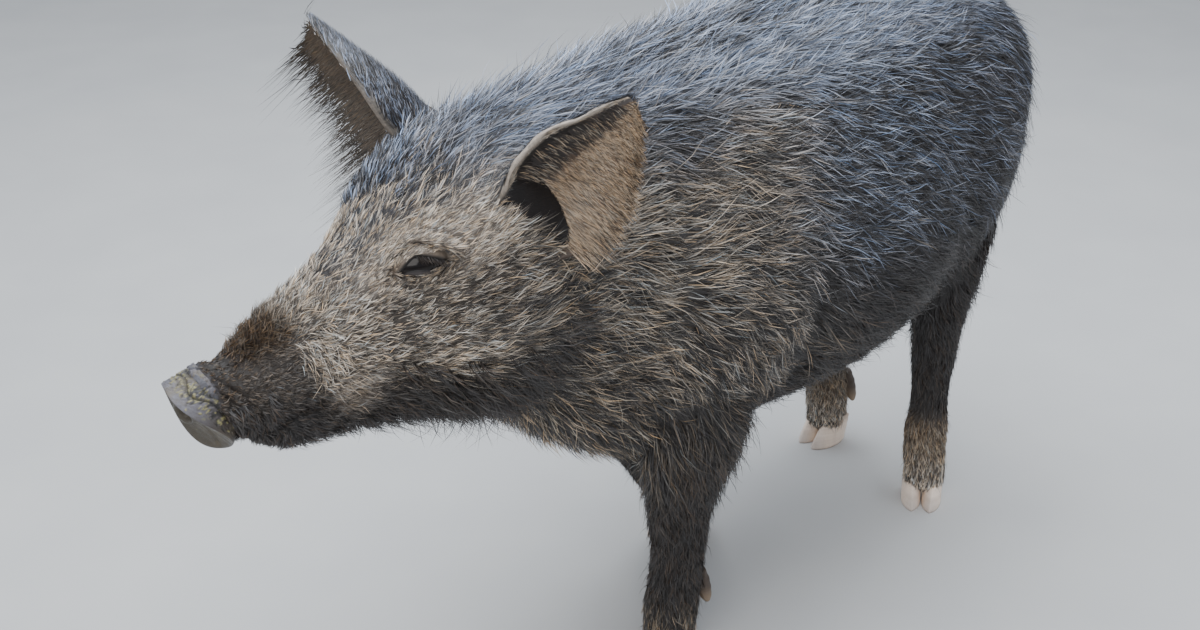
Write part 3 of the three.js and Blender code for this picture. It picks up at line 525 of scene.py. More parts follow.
def painted(tree):
    """The colour laid on the points of a mesh as tone."""
    return add(tree, "ShaderNodeVertexColor", layer_name="tone").outputs["Color"]


def skin_material():
    made, tree, shader = material("skin", 0.55, 0.35)
    hairs = noise(tree, 420, (0.35, 1, 1), 3.0)
    pores = noise(tree, 900, detail=2.0)
    blotches = noise(tree, 38, detail=5.0)
    blotch = ramp(tree, blotches, 0.35, 0.68, 0.0, 0.6)
    shade = mix(tree, blotch, painted(tree), (0.55, 0.5, 0.46), "MULTIPLY")
    streaks = mix(tree, ramp(tree, hairs, 0.5, 0.72, 0.0, 0.5), shade, (1.9, 1.8, 1.7), "MULTIPLY")
    tree.links.new(streaks, shader.inputs["Base Color"])
    bump(tree, shader, [(hairs, 0.0012, 0.55), (pores, 0.0004, 0.4)])
    return made


def coat_material():
    made, tree, shader = material("coat", 0.42, 0.45)
    clumps = noise(tree, 60, detail=3.0)
    fleck = noise(tree, 320, (0.4, 1, 1), 2.0)
    shade = mix(tree, ramp(tree, clumps, 0.35, 0.65, 0.0, 0.45), painted(tree), (0.5, 0.46, 0.42), "MULTIPLY")
    made_colour = mix(tree, ramp(tree, fleck, 0.55, 0.75, 0.0, 0.35), shade, (1.7, 1.65, 1.6), "MULTIPLY")
    tree.links.new(made_colour, shader.inputs["Base Color"])
    return made


def eye_material():
    made, tree, shader = material("eye", 0.12, 0.28)
    streaks = noise(tree, 260, detail=5.0)
    colour = mix(tree, ramp(tree, streaks, 0.3, 0.7, 0.0, 1.0), (0.004, 0.003, 0.003), (0.010, 0.006, 0.005))
    tree.links.new(colour, shader.inputs["Base Color"])
    return made


def snout_material():
    made, tree, shader = material("snout", 0.46, 0.5, Coat_Weight=0.3, Coat_Roughness=0.3)
    mud = noise(tree, 42, detail=8.0, roughness=0.7)
    grit = noise(tree, 300, detail=4.0)
    flecks = noise(tree, 130, detail=3.0)
    pits = add(tree, "ShaderNodeTexVoronoi", Scale=620.0)
    crust = mix(tree, ramp(tree, mud, 0.50, 0.66, 0.0, 0.7), painted(tree), (0.13, 0.105, 0.066))
    green = mix(tree, ramp(tree, flecks, 0.62, 0.68, 0.0, 0.35), crust, (0.26, 0.24, 0.10))
    grain = mix(tree, ramp(tree, grit, 0.4, 0.6, 0.0, 0.5), green, (0.6, 0.56, 0.5), "MULTIPLY")
    tree.links.new(grain, shader.inputs["Base Color"])
    tree.links.new(ramp(tree, mud, 0.42, 0.62, 0.28, 0.62), shader.inputs["Roughness"])
    bump(tree, shader, [(mud, 0.0018, 0.6), (pits.outputs["Distance"], 0.0006, 0.5), (grit, 0.0004, 0.5)])
    return made


def horn_material(name, roughness):
    made, tree, shader = material(name, roughness, 0.4)
    rings = noise(tree, 55, (0.25, 0.25, 6), 4.0)
    streaks = noise(tree, 160, (1, 1, 0.18), 3.0)
    dirt = noise(tree, 70, detail=7.0, roughness=0.7)
    ringed = mix(tree, ramp(tree, rings, 0.35, 0.65, 0.0, 0.35), painted(tree), (0.7, 0.66, 0.62), "MULTIPLY")
    worn = mix(tree, ramp(tree, streaks, 0.45, 0.7, 0.0, 0.25), ringed, (0.72, 0.68, 0.62), "MULTIPLY")
    dirty = mix(tree, ramp(tree, dirt, 0.58, 0.74, 0.0, 0.4), worn, (0.16, 0.12, 0.08))
    tree.links.new(dirty, shader.inputs["Base Color"])
    bump(tree, shader, [(rings, 0.0014, 0.5), (streaks, 0.0006, 0.4)])
    return made


def floor_material():
    made, tree, shader = material("floor", 0.9, 0.2)
    grain = noise(tree, 6, detail=2.0)
    colour = mix(tree, ramp(tree, grain, 0.3, 0.7, 0.0, 1.0), (0.51, 0.51, 0.51), (0.54, 0.54, 0.535))
    tree.links.new(colour, shader.inputs["Base Color"])
    return made


# ---------- the coat: what grows where ----------
# Colours are linear. dark is a hair's root and most of its length, pale its tip; share is how many are pale.
# The bluish black base, the two blue-grey tips and the pale grey-brown tip are painted sheen: light reflected
# off the black hair, laid into its colour on the back, head, neck and shoulder.
BLACK, BLUE_BLACK_SHEEN, BROWN = (0.024, 0.022, 0.022), (0.040, 0.042, 0.050), (0.055, 0.038, 0.027)
UMBER, DUN, FAWN = (0.018, 0.013, 0.011), (0.075, 0.064, 0.056), (0.17, 0.145, 0.125)
STEEL_SHEEN, TAN, CREAM = (0.26, 0.29, 0.37), (0.40, 0.32, 0.23), (0.78, 0.68, 0.56)
RUSSET, HAZE_SHEEN, WHEAT = (0.17, 0.115, 0.068), (0.36, 0.41, 0.52), (0.46, 0.35, 0.24)
PEAT, LINEN_SHEEN = (0.046, 0.038, 0.033), (0.50, 0.43, 0.35)
ZONE_NAMES = "at reach length lift lie dark pale share gap curl"
BODY_ZONES = [
    # at, reach, length, lift, lie, dark, pale, share, gap, curl
    # Painted sheen: the bluish black base on top, and the blue-grey and grey-brown tips, stand for light
    # reflected off the black hair.
    ((330, 20, 592), (70, 34, 30), 46, 0.42, (-1, 0, 0.05), BLUE_BLACK_SHEEN, STEEL_SHEEN, 0.74, 4.9, 0.2),  # nape
    ((190, 20, 602), (90, 50, 26), 42, 0.30, (-1, 0, -0.02), BLUE_BLACK_SHEEN, HAZE_SHEEN, 0.80, 5.3, 0.18),  # withers
    ((0, 20, 606), (150, 60, 26), 38, 0.24, (-1, 0, -0.02), BLUE_BLACK_SHEEN, HAZE_SHEEN, 0.92, 5.5, 0.16),  # back
    ((-230, 20, 598), (100, 60, 30), 34, 0.20, (-1, 0, -0.05), BLUE_BLACK_SHEEN, STEEL_SHEEN, 0.60, 5.5, 0.16),  # loin
    ((270, 92, 560), (60, 30, 26), 42, 0.20, (-1, 0.1, -0.1), BLACK, STEEL_SHEEN, 0.36, 5.2, 0.16),  # ear's rear
    ((300, 100, 500), (60, 40, 60), 40, 0.16, (-1, 0.1, -0.12), BLACK, LINEN_SHEEN, 0.58, 5.3, 0.16),  # neck
    ((320, 80, 400), (60, 50, 50), 34, 0.22, (-1, 0, -0.45), BLACK, LINEN_SHEEN, 0.46, 5.3, 0.2),  # throat side
    ((180, 130, 480), (70, 40, 70), 38, 0.15, (-1, 0, -0.3), BLACK, LINEN_SHEEN, 0.46, 5.5, 0.16),  # shoulder
    ((150, 140, 350), (70, 40, 60), 36, 0.16, (-0.7, 0, -0.8), BLACK, LINEN_SHEEN, 0.26, 5.7, 0.16),  # arm
    ((20, 140, 470), (105, 40, 66), 42, 0.14, (-1, 0, -0.42), BLACK, HAZE_SHEEN, 0.30, 5.7, 0.16),  # ribs
    ((-40, 130, 330), (130, 50, 70), 40, 0.17, (-1, 0, -0.5), BLACK, BROWN, 0.18, 5.9, 0.16),  # flank
    ((-40, 20, 224), (190, 60, 24), 34, 0.24, (-1, 0, -0.05), BLACK, BROWN, 0.30, 6.2, 0.2),  # belly
    ((270, 20, 275), (60, 50, 50), 34, 0.30, (-0.8, 0, -0.6), BLACK, TAN, 0.24, 5.4, 0.2),  # brisket
    ((-190, 135, 480), (80, 40, 80), 38, 0.14, (-0.9, 0, -0.55), BLACK, STEEL_SHEEN, 0.20, 5.5, 0.16),  # haunch
    ((-300, 90, 480), (50, 50, 80), 34, 0.16, (-0.35, 0, -1), BLACK, STEEL_SHEEN, 0.20, 5.2, 0.16),  # rump
    ((-365, 20, 470), (25, 50, 80), 28, 0.20, (-0.1, 0, -1), BLACK, TAN, 0.20, 5.2, 0.16),  # under the tail
    ((-240, 100, 340), (60, 50, 50), 30, 0.18, (-0.35, 0, -1), BLACK, BROWN, 0.40, 5.2, 0.16),  # thigh
    ((180, 90, 270), (50, 40, 40), 30, 0.24, (-0.35, 0, -1), BLACK, BROWN, 0.34, 5.0, 0.18),  # elbow
    ((-224, 80, 230), (40, 40, 30), 22, 0.22, (-0.25, 0, -1), BLACK, BROWN, 0.20, 4.4, 0.18),  # gaskin
    ((195, 80, 190), (40, 40, 30), 22, 0.28, (-0.15, 0, -1), BLACK, BROWN, 0.36, 4.4, 0.2),  # forearm
    ((-224, 80, 150), (40, 40, 30), 16, 0.20, (-0.1, 0, -1), BLACK, BROWN, 0.30, 4.1, 0.2),  # hock
    ((-224, 80, 88), (40, 40, 26), 13, 0.20, (-0.1, 0, -1), BROWN, TAN, 0.85, 3.9, 0.2),  # hind cannon
    ((195, 75, 110), (40, 40, 45), 15, 0.28, (-0.05, 0, -1), BLACK, BROWN, 0.40, 3.9, 0.2),  # fore cannon
    ((-224, 80, 48), (40, 40, 22), 11, 0.24, (0.1, 0, -1), DUN, CREAM, 0.60, 3.7, 0.2),  # hind pastern
    ((195, 72, 48), (40, 40, 22), 12, 0.26, (0.1, 0, -1), BLACK, TAN, 0.35, 3.7, 0.2),  # fore pastern
]
HEAD_ZONES = [
    # Painted sheen: the bluish black over the top of the head, the poll's blue-grey tips and the jowl's
    # grey-brown tips.
    ((270, 12, -62), (12, 26, 14), 3.5, 0.18, (-1, 0, 0.1), UMBER, RUSSET, 0.40, 2.8, 0.4),  # snout top
    ((240, 8, -54), (20, 16, 10), 10, 0.55, (-0.7, 0.2, 0.1), UMBER, RUSSET, 0.62, 2.5, 0.9),  # bridge
    ((200, 16, -42), (20, 22, 12), 12, 0.30, (-1, 0.1, 0.15), PEAT, CREAM, 0.62, 2.7, 0.35),  # above it
    ((158, 14, -26), (26, 22, 18), 11, 0.24, (-1, 0, 0.25), BLUE_BLACK_SHEEN, CREAM, 0.52, 2.9, 0.24),  # between the eyes
    ((95, 18, -2), (32, 30, 18), 14, 0.22, (-1, 0.05, 0.15), BLUE_BLACK_SHEEN, CREAM, 0.40, 3.0, 0.24),  # forehead
    ((28, 20, 12), (40, 40, 22), 28, 0.38, (-1, 0.1, 0.15), BLUE_BLACK_SHEEN, HAZE_SHEEN, 0.66, 3.3, 0.24),  # poll
    ((112, 50, -27), (22, 16, 11), 7, 0.20, (-1, 0.1, 0.3), FAWN, CREAM, 0.80, 2.5, 0.18),  # brow
    ((146, 36, -40), (18, 14, 14), 7, 0.18, (-1, 0.1, 0.2), FAWN, CREAM, 0.72, 2.5, 0.18),  # before the eye
    ((115, 58, -50), (22, 12, 9), 5, 0.2, (-1, 0.1, 0.2), DUN, TAN, 0.55, 2.1, 0.2),  # lids
    ((66, 72, -38), (24, 18, 18), 10, 0.18, (-1, 0.1, 0.12), FAWN, CREAM, 0.74, 2.7, 0.18),  # temple
    ((30, 70, -12), (22, 20, 16), 9, 0.14, (-1, 0.1, 0.2), BLUE_BLACK_SHEEN, CREAM, 0.28, 2.9, 0.2),  # before the ear
    ((246, 33, -84), (28, 14, 22), 5, 0.30, (-1, 0, -0.3), PEAT, FAWN, 0.68, 2.9, 0.35),  # snout side
    ((208, 37, -80), (10, 12, 20), 9, 0.28, (-0.7, 0.1, -0.6), UMBER, CREAM, 0.40, 2.7, 0.3),  # whisker sweep
    ((192, 29, -120), (16, 18, 14), 12, 0.34, (-1, 0.1, -0.5), FAWN, CREAM, 0.92, 2.5, 0.3),  # pale tuft
    ((178, 42, -82), (22, 18, 20), 11, 0.22, (-1, 0.1, -0.25), PEAT, CREAM, 0.56, 2.8, 0.26),  # cheek front
    ((135, 56, -88), (26, 18, 20), 10, 0.18, (-1, 0.1, -0.1), PEAT, CREAM, 0.42, 2.8, 0.22),  # cheek
    ((110, 62, -130), (34, 22, 22), 13, 0.20, (-1, 0.1, -0.2), PEAT, CREAM, 0.58, 3.0, 0.24),  # cheek below
    ((66, 80, -85), (26, 18, 20), 14, 0.16, (-1, 0.1, 0), PEAT, LINEN_SHEEN, 0.40, 3.0, 0.18),  # behind the eye
    ((55, 84, -115), (34, 24, 30), 20, 0.18, (-1, 0.1, -0.1), BLACK, LINEN_SHEEN, 0.46, 3.3, 0.2),  # jowl
    ((50, 70, -165), (40, 40, 30), 26, 0.30, (-1, 0.1, -0.5), BLACK, LINEN_SHEEN, 0.38, 3.8, 0.22),  # jowl below
    ((10, 80, -90), (24, 30, 50), 28, 0.20, (-1, 0.2, -0.1), BLACK, LINEN_SHEEN, 0.46, 4.0, 0.18),  # past the jowl
    ((228, 26, -130), (46, 22, 18), 8, 0.40, (-0.8, 0.1, -0.6), BLACK, BROWN, 0.12, 2.7, 0.25),  # lower lip
    ((130, 36, -172), (54, 40, 20), 22, 0.50, (-0.8, 0.1, -0.8), BLACK, BROWN, 0.20, 3.4, 0.25),  # chin
]


def zone_columns(zones):
    return {name: np.array(column, float) for name, column in zip(ZONE_NAMES.split(), zip(*zones))}


def blend_zones(points, zones):
    """Every value of the coat at points, from the zones near them."""
    columns = zone_columns(zones)
    away = (((on_left(points)[:, None, :] - columns["at"]) / columns["reach"]) ** 2).sum(-1)
    weight = np.exp(-(away - away.min(1, keepdims=True)))
    weight /= weight.sum(1, keepdims=True)
    made = {name: weight @ column for name, column in columns.items() if name not in ("at", "reach")}
    made["lie"][:, 1] *= np.sign(points[:, 1])
    return made


def by_leg(points, name):
    """Which points lie at a leg's end of the body, on its side."""
    ahead = points[:, 0] > LEGS_PART
    return (ahead == name.startswith("fore")) & (points[:, 1] * LEGS[name]["side"] > 0)


def unstepped(points):
    """Points of a leg that has stepped, back where the zones have it."""
    moved = points.copy()
    for name, leg in LEGS.items():
        own = by_leg(points, name)
        moved[own, 0] -= leg["step"] * swing(points[own, 2])
    return moved


def coat_at(points):
    """What the coat is like at points of the skin: body and head zones, blended where they meet."""
    body = blend_zones(unstepped(points), BODY_ZONES)
    on_head = to_head(points)
    head = blend_zones(on_head, HEAD_ZONES)
    head["lie"] = head["lie"] @ HEAD_SPIN.T
    share = smooth(-34, 6, on_head[:, 0])
    return {k: (body[k].T * (1 - share) + head[k].T * share).T for k in body}


def skin_tone(points):
    """The skin's own colour: the coat's, darker, and grey on the bare collar behind the nose disc; near black
    in the hollows inside the ears' openings, as painted shade.
    """
    coat = coat_at(points)
    on_head = to_head(points)
    tone = coat["dark"] * 0.85 + 0.10 * coat["pale"] * coat["share"][:, None]
    tone = tone * (1 - 0.45 * smooth(0, 40, on_head[:, 0]))[:, None]
    high = smooth(-110, -80, on_head[:, 2])
    collar = (smooth(-7, 0, past_hair(on_head)) * (0.3 + 0.7 * high))[:, None]
    tone = tone * (1 - collar) + np.array([0.085, 0.085, 0.100]) * collar
    # Painted shade: near black in the hollows inside the ears' openings.
    hollow = np.any([in_ear(on_head, ear) for ear in EARS.values()], axis=0)[:, None]
    return np.where(hollow, np.array([0.008, 0.006, 0.006]), tone)


# ---------- skin ----------
SKIN_FORMS = [  # masses and hollows of the body: centre, reach, out
    ((215, 118, 400), (34, 60, 70), 4),  # shoulder blade
    ((92, 140, 330), (20, 60, 70), -5),  # behind the shoulder
    ((250, 100, 440), (16, 60, 90), -3),  # before the shoulder
    ((-150, 140, 330), (26, 60, 60), -5),  # before the thigh
    ((-235, 120, 400), (60, 60, 80), 4),  # thigh
    ((-340, 30, 400), (40, 26, 60), -5),  # between the hams
    ((-30, 10, 606), (240, 12, 12), -1.5),  # along the spine
]
LEG_FORMS = [  # pair, z, reach, angle in degrees (0 ahead), out
    ("fore", 122, 18, 0, 2.0), ("fore", 128, 20, 180, 1.5),  # knee
    ("fore", 62, 12, 0, 1.5), ("fore", 62, 12, 180, 2.5),  # fetlock
    ("hind", 175, 20, 180, 3.0), ("hind", 158, 24, 0, -1.5),  # hock
    ("hind", 62, 12, 0, 1.5), ("hind", 62, 12, 180, 2.5),  # fetlock
]
FACE_LINES = [  # creases and ridges of the face: [(x, degrees round the head, 90 on top)], width, out
    ([(243, 90), (242, 60), (240, 35)], 2.4, -0.9),
    ([(228, 90), (226, 65), (222, 45)], 2.4, -0.8),
    ([(208, 90), (206, 65), (202, 45)], 3.0, -0.7),
    ([(176, 90), (172, 70), (166, 52)], 3.0, -0.8),
    ([(160, 37), (148, 35), (140, 34)], 2.0, -1.0),
    ([(158, 22), (146, 22), (134, 24)], 2.4, -1.0),
    ([(150, 7), (132, 10), (112, 12), (92, 14)], 3.6, -1.2),
    ([(86, 24), (78, 32), (66, 38)], 3.0, -1.0),
]
# The ring of skin behind the nose disc: rows of depth behind the disc, share of its size, and drop.
COLLAR = [(-34, 0.60, -9), (-27, 0.69, -5), (-20, 0.76, -2), (-14, 0.79, -1), (-10, 0.78, 0)]
COLLAR_FOLDS = [(-14, 1.4, -1.4), (-17.5, 1.8, 0.8), (-21.5, 1.5, -1.4), (-26, 2.0, 0.6)]  # depth, width, out


def head_inset(x):
    thin = INSET["cheek"] + (INSET["snout"] - INSET["cheek"]) * smooth(60, 230, x)
    return thin + 4 * smooth(262, 281, x)


def collar_shell():
    """The ring of skin that the nose disc grows out of."""
    depth, size, drop = np.array(COLLAR, float).T[:, :, None]
    angle = turns_round(60)
    lip = smooth(0.5, -0.6, np.sin(angle)) * smooth(-30, -10, depth)
    depth, size = depth + 12 * lip, size + 0.15 * lip
    narrow = 1 - 0.05 * (1 - np.sin(angle))
    y = DISC["half"] * size * narrow * rounded(np.cos(angle), DISC_POWERS[0])
    z = DISC["high"] * size * rounded(np.sin(angle), DISC_POWERS[1]) + drop
    depth = depth + disc_bend(y, z) * smooth(-34, -10, depth)
    points, faces = shell(np.stack([depth, y, z], -1))
    return from_disc(points), faces


def body_shells():
    shapes = [loft(TRUNK_FORM, INSET["trunk"], domed=True)]
    for form in (HEAD_FORM, JAW_FORM):
        points, faces = loft(form, head_inset)
        shapes.append((from_head(points), faces))
    shapes.append(collar_shell())
    shapes += [leg_loft(leg) for leg in LEGS.values()]
    for ear in EARS.values():
        points, faces = ear_root(ear)
        shapes.append((from_head(points), faces))
    return join(shapes)


def ear_root(ear):
    """A thick cup that carries the ear's leaf out of the head."""
    t = np.linspace(-0.3, 0.12, 10)[:, None]
    s = np.linspace(-0.94, 0.94, 16)[None, :]
    thick = 5.0 * (1 - smooth(-0.1, 0.12, t)) + 0.6
    opening = ear_frame(ear)[3]
    outside = ear_points(ear, t + 0 * s, s + 0 * t, False) - thick[..., None] * opening
    inside = ear_points(ear, t + 0 * s, -s + 0 * t, True) + 0.3 * thick[..., None] * opening
    return shell(np.concatenate([outside, inside], axis=1))


def remeshed(points, faces, voxel):
    """One closed surface round overlapping shells."""
    piece = bpy.data.objects.new("shells", make_mesh("shells", points, faces))
    bpy.context.scene.collection.objects.link(piece)
    remesh = piece.modifiers.new("remesh", "REMESH")
    remesh.mode = "VOXEL"
    remesh.voxel_size = voxel * 0.001
    whole = bpy.data.meshes.new_from_object(piece.evaluated_get(bpy.context.evaluated_depsgraph_get()))
    bpy.data.objects.remove(piece)
    return whole


def relax(mesh, share, rounds, keep_size=True):
    """Moves points toward their neighbours' middle by share, and out again where size is kept."""
    edges = np.empty(len(mesh.edges) * 2, np.int32)
    mesh.edges.foreach_get("vertices", edges)
    a, b = edges.reshape(-1, 2).T
    points = points_of(mesh)
    count = len(points)
    near = np.bincount(a, minlength=count) + np.bincount(b, minlength=count)
    share = np.broadcast_to(share, count)[:, None]
    steps = (SMOOTH_IN, SMOOTH_OUT) if keep_size else (SMOOTH_IN,)
    for _ in range(rounds):
        for step in steps:
            sums = [np.bincount(a, at_b, count) + np.bincount(b, at_a, count)
                    for at_a, at_b in zip(points[a].T, points[b].T)]
            points += step * share * (np.stack(sums, -1) / near[:, None] - points)
    put_points(mesh, points)


def junctions(points):
    """How much the skin is smoothed by place: most where legs, head and ears join."""
    on_head = to_head(points)
    low = unstepped(points)
    share = 0.9 * hump(on_head[:, 0], -6, 34)
    share = np.maximum(share, 0.95 * blob(low, (175, 100, 255), (80, 60, 42)))
    share = np.maximum(share, 0.95 * blob(low, (-230, 90, 285), (70, 60, 60)))
    for ear in EARS.values():
        away = np.linalg.norm((on_head - np.array(ear["base"])) / [40, 34, 40], axis=1)
        share = np.maximum(share, 0.8 * hump(away, 0, 1))
    return share


def subdivide(mesh, chosen):
    """Halves the faces whose points are chosen."""
    work = bmesh.new()
    work.from_mesh(mesh)
    work.verts.ensure_lookup_table()
    edges = [e for e in work.edges if chosen[e.verts[0].index] and chosen[e.verts[1].index]]
    bmesh.ops.subdivide_edges(work, edges=edges, cuts=1, use_grid_fill=True)
    work.to_mesh(mesh)
    work.free()


def swell_body(mesh):
    points, normals = points_of(mesh), normals_of(mesh)
    out = np.zeros(len(points))
    low = unstepped(points)
    for at, reach, amount in SKIN_FORMS:
        out += amount * blob(low, at, reach)
    for name, leg in LEGS.items():
        own = by_leg(points, name) & (points[:, 2] < 240)
        s = between(leg["sections"], "z", np.clip(points[:, 2], 10, 345))
        turn = np.radians(leg["turn"] * leg["side"])
        x = low[:, 0] - s["x"]
        y = points[:, 1] - leg["side"] * s["y"]
        angle = np.arctan2(y * np.cos(turn) - x * np.sin(turn), x * np.cos(turn) + y * np.sin(turn))
        for on, z, reach, degrees, amount in LEG_FORMS:
            if name.startswith(on):
                around = np.exp((np.cos(angle - np.radians(degrees)) - 1) * 2)
                out += own * amount * around * hump(points[:, 2], z, reach)
    put_points(mesh, points + out[:, None] * normals)


def mouth_points(side):
    """The line where the lips meet, in the head's frame."""
    t = np.linspace(0, 1, 12)
    x = MOUTH["front"] + (MOUTH["back"] - MOUTH["front"]) * t
    level = MOUTH["front_level"] + (MOUTH["back_level"] - MOUTH["front_level"]) * t ** 1.5
    s = between(HEAD, "x", x)
    drop = np.minimum((s["level"] - level) / (s["level"] - s["bottom"]), 0.96)
    half = s["half"] * (1 - drop ** HEAD_POWERS[1]) ** (1 / HEAD_POWERS[1])
    return leaned(np.stack([x, side * half, level], -1), s["level"])


def crease_face(mesh):
    """Folds, lips and the mouth's groove."""
    points, normals = points_of(mesh), normals_of(mesh)
    on_head = to_head(points)
    mirrored = on_left(on_head)
    near = np.flatnonzero((on_head[:, 0] > 30) & (on_head[:, 2] > -220))
    out = np.zeros(len(points))
    for line, width, amount in FACE_LINES:
        x, degrees = np.array(line, float).T
        away = line_distance(mirrored[near], loft_points(HEAD_FORM, x, np.radians(degrees), head_inset(x)))
        out[near] += amount * (hump(away, 0, width) - 0.35 * hump(away, 2.1 * width, width))
    depth = disc_depth(on_head[near])
    waved = depth + 1.2 * np.sin(on_head[near, 1] * 0.22) + 0.8 * np.sin(on_head[near, 2] * 0.3)
    for at, width, amount in COLLAR_FOLDS:
        out[near] += amount * smooth(-150, -100, on_head[near, 2]) * hump(waved, at, width)
    away = line_distance(mirrored[near], mouth_points(LEFT))
    fade = smooth(MOUTH["back"] - 14, MOUTH["back"] + 10, on_head[near, 0])
    out[near] += fade * (2.2 * hump(away, 5.5, 3.2) - 5.0 * hump(away, 0, 1.9))
    put_points(mesh, points + out[:, None] * normals)


def make_skin():
    points, faces = body_shells()
    mesh = remeshed(points, faces, VOXEL)
    relax(mesh, 0.9, 6)
    relax(mesh, junctions(points_of(mesh)), 26, keep_size=False)
    swell_body(mesh)
    on_head = to_head(points_of(mesh))
    subdivide(mesh, on_head[:, 0] > 20)
    on_head = to_head(points_of(mesh))
    subdivide(mesh, (on_head[:, 0] > 84) & (on_head[:, 2] > -150))
    relax(mesh, 0.8 * (to_head(points_of(mesh))[:, 0] > 10), 4)
    crease_face(mesh)
    return mesh


# ---------- eyes and lids ----------
# The eye's frame, on the left of the head: along from the inner to the outer corner, up, and out.
EYE_AT = np.array([115.0, 55.0, -49.7])
EYE_AXES = np.array([(-0.903, 0.426, -0.070), (-0.187, -0.239, 0.953), (0.389, 0.874, 0.2955)])
EYE_BALL = {"at": (-1.5, 4.2, -11.5), "radii": (22.0, 14.5, 14.2)}
LID_EDGE = table("along upper lower", [
    (-18.5, 0.2, -0.2), (-15, 3.2, 0.8), (-11, 6.6, 1.4), (-3.5, 10.6, 0.9), (6, 7.6, -1.8),
    (13, 3.8, -1.8), (18.5, 0.3, -0.4),
])
LID_FOLDS = {  # distance from the lid's edge, width, out
    "upper": [(3.8, 2.6, 2.0), (8.8, 1.6, -2.2), (13.5, 4.2, 2.6), (19.5, 1.8, -0.6)],
    "lower": [(1.6, 1.2, 0.2), (4.8, 1.5, -0.6), (9, 3.2, 0.7), (14, 1.6, -0.6), (18, 3, 0.3)],
}
LID_REACH = 26.0


def ball_height(along, up):
    """How far the eyeball stands out at a place of the eye's own plane."""
    (a, u, n), (ra, ru, rn) = EYE_BALL["at"], EYE_BALL["radii"]
    rest = 1 - ((along - a) / ra) ** 2 - ((up - u) / ru) ** 2
    return n + rn * np.sqrt(np.maximum(rest, 0.04))


def from_eye(points, side):
    on_head = EYE_AT + points @ EYE_AXES
    return from_head(on_head * [1, side, 1])


def to_eye(points, side):
    return (to_head(points) * [1, side, 1] - EYE_AT) @ EYE_AXES.T


def lid_patch(side, surface):
    """Lids and the folds round them: rings out from the opening, laid on the head's surface."""
    turn = turns_round(112).T
    out = np.concatenate([[-1.6, -0.6, 0.0, 0.7], np.linspace(1.5, 12, 22), np.linspace(12.8, LID_REACH, 18)])
    distance = np.broadcast_to(out[None, :], (len(turn), len(out)))
    corner = LID_EDGE["along"][-1]
    edge = between(LID_EDGE, "along", np.clip(corner * np.cos(turn), 0.01 - corner, corner - 0.01))
    start_up = np.where(np.sin(turn) >= 0, edge["upper"], edge["lower"])
    along = edge["along"] + distance * np.cos(turn)
    up = start_up + distance * np.sin(turn)
    base = surface_height(along, up, side, surface)
    height = lid_height(distance, turn, ball_height(along, up), base)
    points = from_eye(np.stack([along, up, height], -1).reshape(-1, 3), side)
    upper, turn = (np.broadcast_to(value, distance.shape).ravel() for value in (is_upper(turn), turn))
    return points, lid_faces(*distance.shape, side), lid_tone(points, distance.ravel(), upper, turn)


def is_upper(turn):
    """1 on the upper lid and 0 on the lower, running over into each other at the corners."""
    return smooth(-0.35, 0.35, np.sin(turn))


def lid_height(distance, turn, ball, base):
    """How far the lids stand out: from the eyeball over their folds to the head round them."""
    share = smooth(2.0, 12.0, distance)
    thick = np.interp(distance, [-1.6, -0.6, 0, 0.7, 1.5], [-1.4, -0.1, 0.5, 0.9, 1.1])
    height = (ball + thick) * (1 - share) + base * share
    for lid, on_lid in (("upper", is_upper(turn)), ("lower", 1 - is_upper(turn))):
        for at, width, amount in LID_FOLDS[lid]:
            height = height + on_lid * amount * hump(distance, at, width)
    inner, outer = hump(turn, np.pi, 0.6), np.exp((np.cos(turn) - 1) * 7)
    height = height + 0.9 * inner * np.cos(17 * turn) * hump(distance, 9, 6) - 0.8 * tear_line(distance, turn)
    height = height + 0.7 * outer * np.cos(15 * turn + 1) * hump(distance, 9, 5)
    edge = smooth(19, LID_REACH, distance)
    height = height * (1 - edge) + base * edge
    return height + 0.25 * hump(distance, 19, 3) - 1.6 * smooth(21.5, LID_REACH, distance)


def tear_line(distance, turn):
    """1 on the crease that runs down from the eye's inner corner."""
    below = np.arccos(17 / (18.5 + np.maximum(distance, 0)))
    return hump(turn, np.pi + below, 0.13) * smooth(20, 14, distance)


def lid_faces(turns, rings, side):
    i, j = np.arange(turns)[:, None], np.arange(rings - 1)[None, :]
    k = (i + 1) % turns
    quads = np.stack([i * rings + j, i * rings + j + 1, k * rings + j + 1, k * rings + j], -1).reshape(-1, 4)
    return [quads if side == LEFT else quads[:, ::-1]]


def lid_tone(points, distance, upper, turn):
    """Bare grey lids, a dark wet edge, and dark creases that run into the coat's colour: the creases' dark,
    and the edge's dark where the lids tuck in against the eyeball, are painted shade.
    """
    middle = np.clip(1.15 - np.maximum(np.cos(turn), 0) ** 4, 0, 1)
    return laid_over(skin_tone(points), [
        ((0.17, 0.135, 0.105), 0.8 * upper * middle * hump(distance, 5.0, 2.6)),
        ((0.055, 0.047, 0.047), (1 - upper) * hump(distance, 2.6, 2.2)),
        # Painted shade in the crease over the upper lid.
        ((0.040, 0.041, 0.047), 0.8 * upper * hump(distance, 8.8, 1.6)),
        # The lids' own dark wet edge, with painted shade where they tuck in against the eyeball.
        ((0.008, 0.006, 0.006), 1 - smooth(0.7, 2.2 + 1.2 * upper, distance)),
        # Painted shade in the crease that runs down from the inner corner.
        ((0.014, 0.011, 0.011), 0.9 * tear_line(distance, turn)),
    ])


